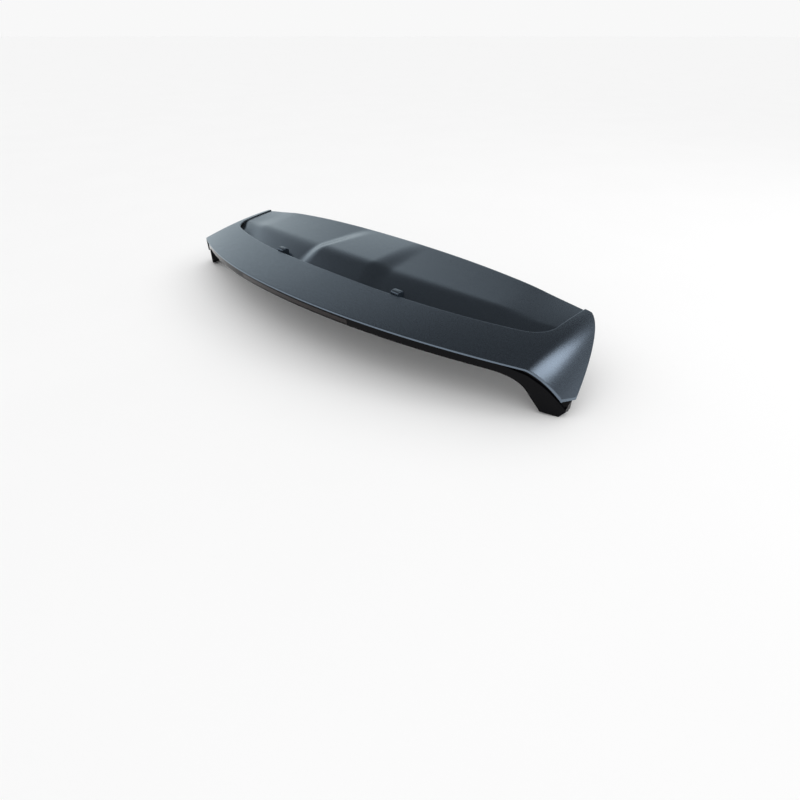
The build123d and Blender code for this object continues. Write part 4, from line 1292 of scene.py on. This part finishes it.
@dataclass
class Studio:
    """Camera at the photograph's angle, pale floor, soft light and a backdrop that darkens overhead."""

    camera_place: tuple[float, float, float] = (0.929, -0.896, 0.524)
    azimuth: float = 41.94
    elevation: float = 36.28
    lens_mm: float = 22.5
    sensor_mm: float = 36.0
    view_end: float = 100.0
    floor_half: float = 200.0
    floor_colour: Colour = (0.93, 0.93, 0.93)
    floor_roughness: float = 0.9
    speck_scale: float = 3.0
    speck_lift: float = 0.02
    sky_levels: tuple[tuple[float, float], ...] = (
        (0.0, 0.94), (0.05, 0.94), (0.10, 1.12), (0.16, 1.04), (0.24, 0.76), (0.34, 0.53), (0.45, 0.42),
        (0.50, 0.38), (0.58, 0.25), (0.64, 0.14), (0.70, 0.08), (1.0, 0.06))
    dim_side: tuple[float, float] = (0.05, 0.45)
    dim_level: float = 0.42
    fill_level: float = 2.5
    fill_spread: float = 130.0
    fill_place: tuple[float, float, float] = (0.0, 0.0, 3.0)
    side_place: tuple[float, float, float] = (2.32, 1.50, 1.95)
    side_aim: tuple[float, float, float] = (0.6, 0.0, 0.0)
    side_size: float = 1.05
    side_watts: float = 9.5

    def camera(self) -> None:
        """Place the camera."""
        data = bpy.data.cameras.new("view_camera")
        data.lens = self.lens_mm
        data.sensor_width = self.sensor_mm
        data.clip_end = self.view_end
        camera = add_object("view_camera", data)
        camera.location = self.camera_place
        turn, tilt = math.radians(self.azimuth), math.radians(self.elevation)
        back = Vector((math.sin(turn) * math.cos(tilt), -math.cos(turn) * math.cos(tilt), math.sin(tilt)))
        camera.rotation_euler = back.to_track_quat("Z", "Y").to_euler()
        bpy.context.scene.camera = camera

    def floor(self, height: float) -> None:
        """Lay the pale floor at a height."""
        half = self.floor_half
        mesh = bpy.data.meshes.new("studio_floor")
        corners = [(x, y, height) for x, y in ((-half, -half), (half, -half), (half, half), (-half, half))]
        mesh.from_pydata(corners, [], [(0, 1, 2, 3)])
        floor = add_object("studio_floor", mesh)
        shader = Shader("floor_pale")
        pale = tuple(channel + self.speck_lift for channel in self.floor_colour)
        colour = shader.blend(self.floor_colour, pale, shader.noise(self.speck_scale))
        mesh.materials.append(shader.finish(Base_Color=colour, Roughness=self.floor_roughness,
                                            Specular_IOR_Level=0.0))

    def sky(self) -> None:
        """Backdrop light: pale at the horizon, dim overhead and dimmer on the right."""
        world = bpy.data.worlds.new("studio_world")
        bpy.context.scene.world = world
        world.use_nodes = True
        tree = NodeTree(world.node_tree)
        tree.tree.nodes.clear()
        direction = tree.node("ShaderNodeTexCoord", output="Generated")
        height = tree.node("ShaderNodeSeparateXYZ", {}, {0: direction}, "Z")
        aside = tree.node("ShaderNodeSeparateXYZ", {}, {0: direction}, "X")
        stops = [(place, (level, level, level)) for place, level in self.sky_levels]
        tone = tree.node("ShaderNodeValToRGB", {"stops": stops}, {"Fac": height})
        dim = tree.node("ShaderNodeMapRange", {"interpolation_type": "SMOOTHSTEP"},
                        {"Value": aside, "From Min": self.dim_side[0], "From Max": self.dim_side[1],
                         "To Min": 1.0, "To Max": self.dim_level})
        shaded = tree.node("ShaderNodeMix", {"data_type": "RGBA", "blend_type": "MULTIPLY"},
                           {"Factor": 1.0, 6: tone, 7: dim}, 2)
        light = tree.node("ShaderNodeBackground", {}, {"Color": shaded})
        tree.node("ShaderNodeOutputWorld", {}, {"Surface": light})

    def lamp(self, name: str, kind: str, place: Sequence[float], aim: Sequence[float]) -> bpy.types.Object:
        """Add a lamp that faces a point."""
        lamp = add_object(name, bpy.data.lights.new(name, kind))
        lamp.location = place
        lamp.rotation_euler = (Vector(place) - Vector(aim)).to_track_quat("Z", "Y").to_euler()
        return lamp

    def lamps(self) -> None:
        """An even fill from above that mirrors don't show, and a soft box on the right that they do."""
        fill = self.lamp("fill_lamp", "SUN", self.fill_place, (0.0, 0.0, 0.0))
        fill.data.energy = self.fill_level
        fill.data.angle = math.radians(self.fill_spread)
        fill.visible_glossy = False
        side = self.lamp("side_lamp", "AREA", self.side_place, self.side_aim)
        side.data.size = self.side_size
        side.data.energy = self.side_watts

    def build(self, floor_height: float) -> None:
        """Set up the camera, floor, backdrop and lamps."""
        bpy.context.scene.view_settings.view_transform = "Standard"
        self.camera()
        self.floor(floor_height)
        self.sky()
        self.lamps()


@dataclass
class Spoiler:
    """The whole spoiler: smooth mouldings over their nodes, and finishes on every node that stays."""

    form: SpoilerForm = field(default_factory=SpoilerForm)
    node_finishes: tuple[tuple[str, Finish], ...] = (
        ("lamp_lens", Finish.LENS), ("lamp_gasket", Finish.FOAM), ("lamp_housing", Finish.HOUSING),
        ("lamp_board", Finish.BOARD), ("lamp_leds", Finish.LED), ("stud_seals", Finish.FOAM),
        ("ear_tape_left", Finish.TAPE), ("ear_tape_right", Finish.TAPE), ("leg_pad_left", Finish.FOAM),
        ("leg_pad_right", Finish.FOAM))
    materials: dict[Finish, bpy.types.Material] = field(default_factory=dict)
    strut_x: float = 211.0
    strut_screw_length: float = 11.0

    def material(self, finish: Finish) -> bpy.types.Material:
        """The material of a finish, made when it is first asked for."""
        if finish not in self.materials:
            self.materials[finish] = finish.value.build()
        return self.materials[finish]

    def coat(self, piece: bpy.types.Object, finish: Finish) -> None:
        """Give a piece one material and say so."""
        piece.data.materials.clear()
        piece.data.materials.append(self.material(finish))
        LOG.info("%s: %d faces, %s", piece.name, len(piece.data.polygons), finish.value.name)

    def dress(self, piece: bpy.types.Object, finish: Finish, node: str) -> None:
        """Give a new piece its material and body, and hide the node that it stands for."""
        self.coat(piece, finish)
        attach(piece, ROOT)
        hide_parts(node)

    def strut_screw_foot(self, x: float, y: float) -> float:
        """Height of a strut screw's lower end, with its head against the deck's underside."""
        return float(self.form.deck_below(x, y, self.form.deck_wall)) - Screws.head

    def mould_pieces(self) -> None:
        """Loft the skin, deck, trims and struts."""
        form = self.form
        self.dress(BladeSkin(form).build(), Finish.SKIN, "blade_skin")
        self.dress(DeckPanel(form).build(), Finish.DECK, "deck_panel")
        edge, far = form.seam_x - form.seam_gap / 2.0, form.seam_x + form.seam_gap / 2.0
        self.dress(CentreTrim(form, "trim_centre_moulding", -edge, edge).build(), Finish.TRIM, "trim_centre")
        for name, way in (("left", -1.0), ("right", 1.0)):
            side = LowerTrim(form, f"trim_{name}_moulding", way * far, way * form.leg_out[0])
            self.dress(side.build(), Finish.TRIM, f"trim_{name}")
            strut = Strut(form, way * self.strut_x).build(f"strut_{name}_moulding")
            self.dress(strut, Finish.STRUT, f"strut_{name}")

    def grow_fixings(self) -> None:
        """Grow the screws, studs, clips and front seal."""
        sets = [(Screws("trim_screws"), Finish.SCREW), (Screws("lamp_screws"), Finish.SCREW),
                (Screws("strut_screws", self.strut_screw_foot, self.strut_screw_length), Finish.SCREW),
                (Studs("mount_studs"), Finish.STUD), (Clips("push_clips"), Finish.CLIP)]
        for fixings, finish in sets:
            self.dress(fixings.build(self.material(finish)), finish, fixings.node)
        seal = FrontSeal(self.form).build(self.material(Finish.RUBBER))
        self.dress(seal, Finish.RUBBER, "front_seal")

    def build(self) -> None:
        """Make the mouldings and fixings, and give every node that stays its material."""
        self.mould_pieces()
        self.grow_fixings()
        for name, finish in self.node_finishes:
            self.coat(bpy.data.objects[name], finish)


def main() -> None:
    """Build the spoiler and its studio."""
    logging.basicConfig(level=logging.INFO, format="%(name)s: %(message)s")
    cad_box = [list(corner) for corner in CAD_BOX]
    Spoiler().build()
    Studio().build(cad_box[0][2])
    bpy.context.view_layer.update()


if __name__ == "__main__":
    main()
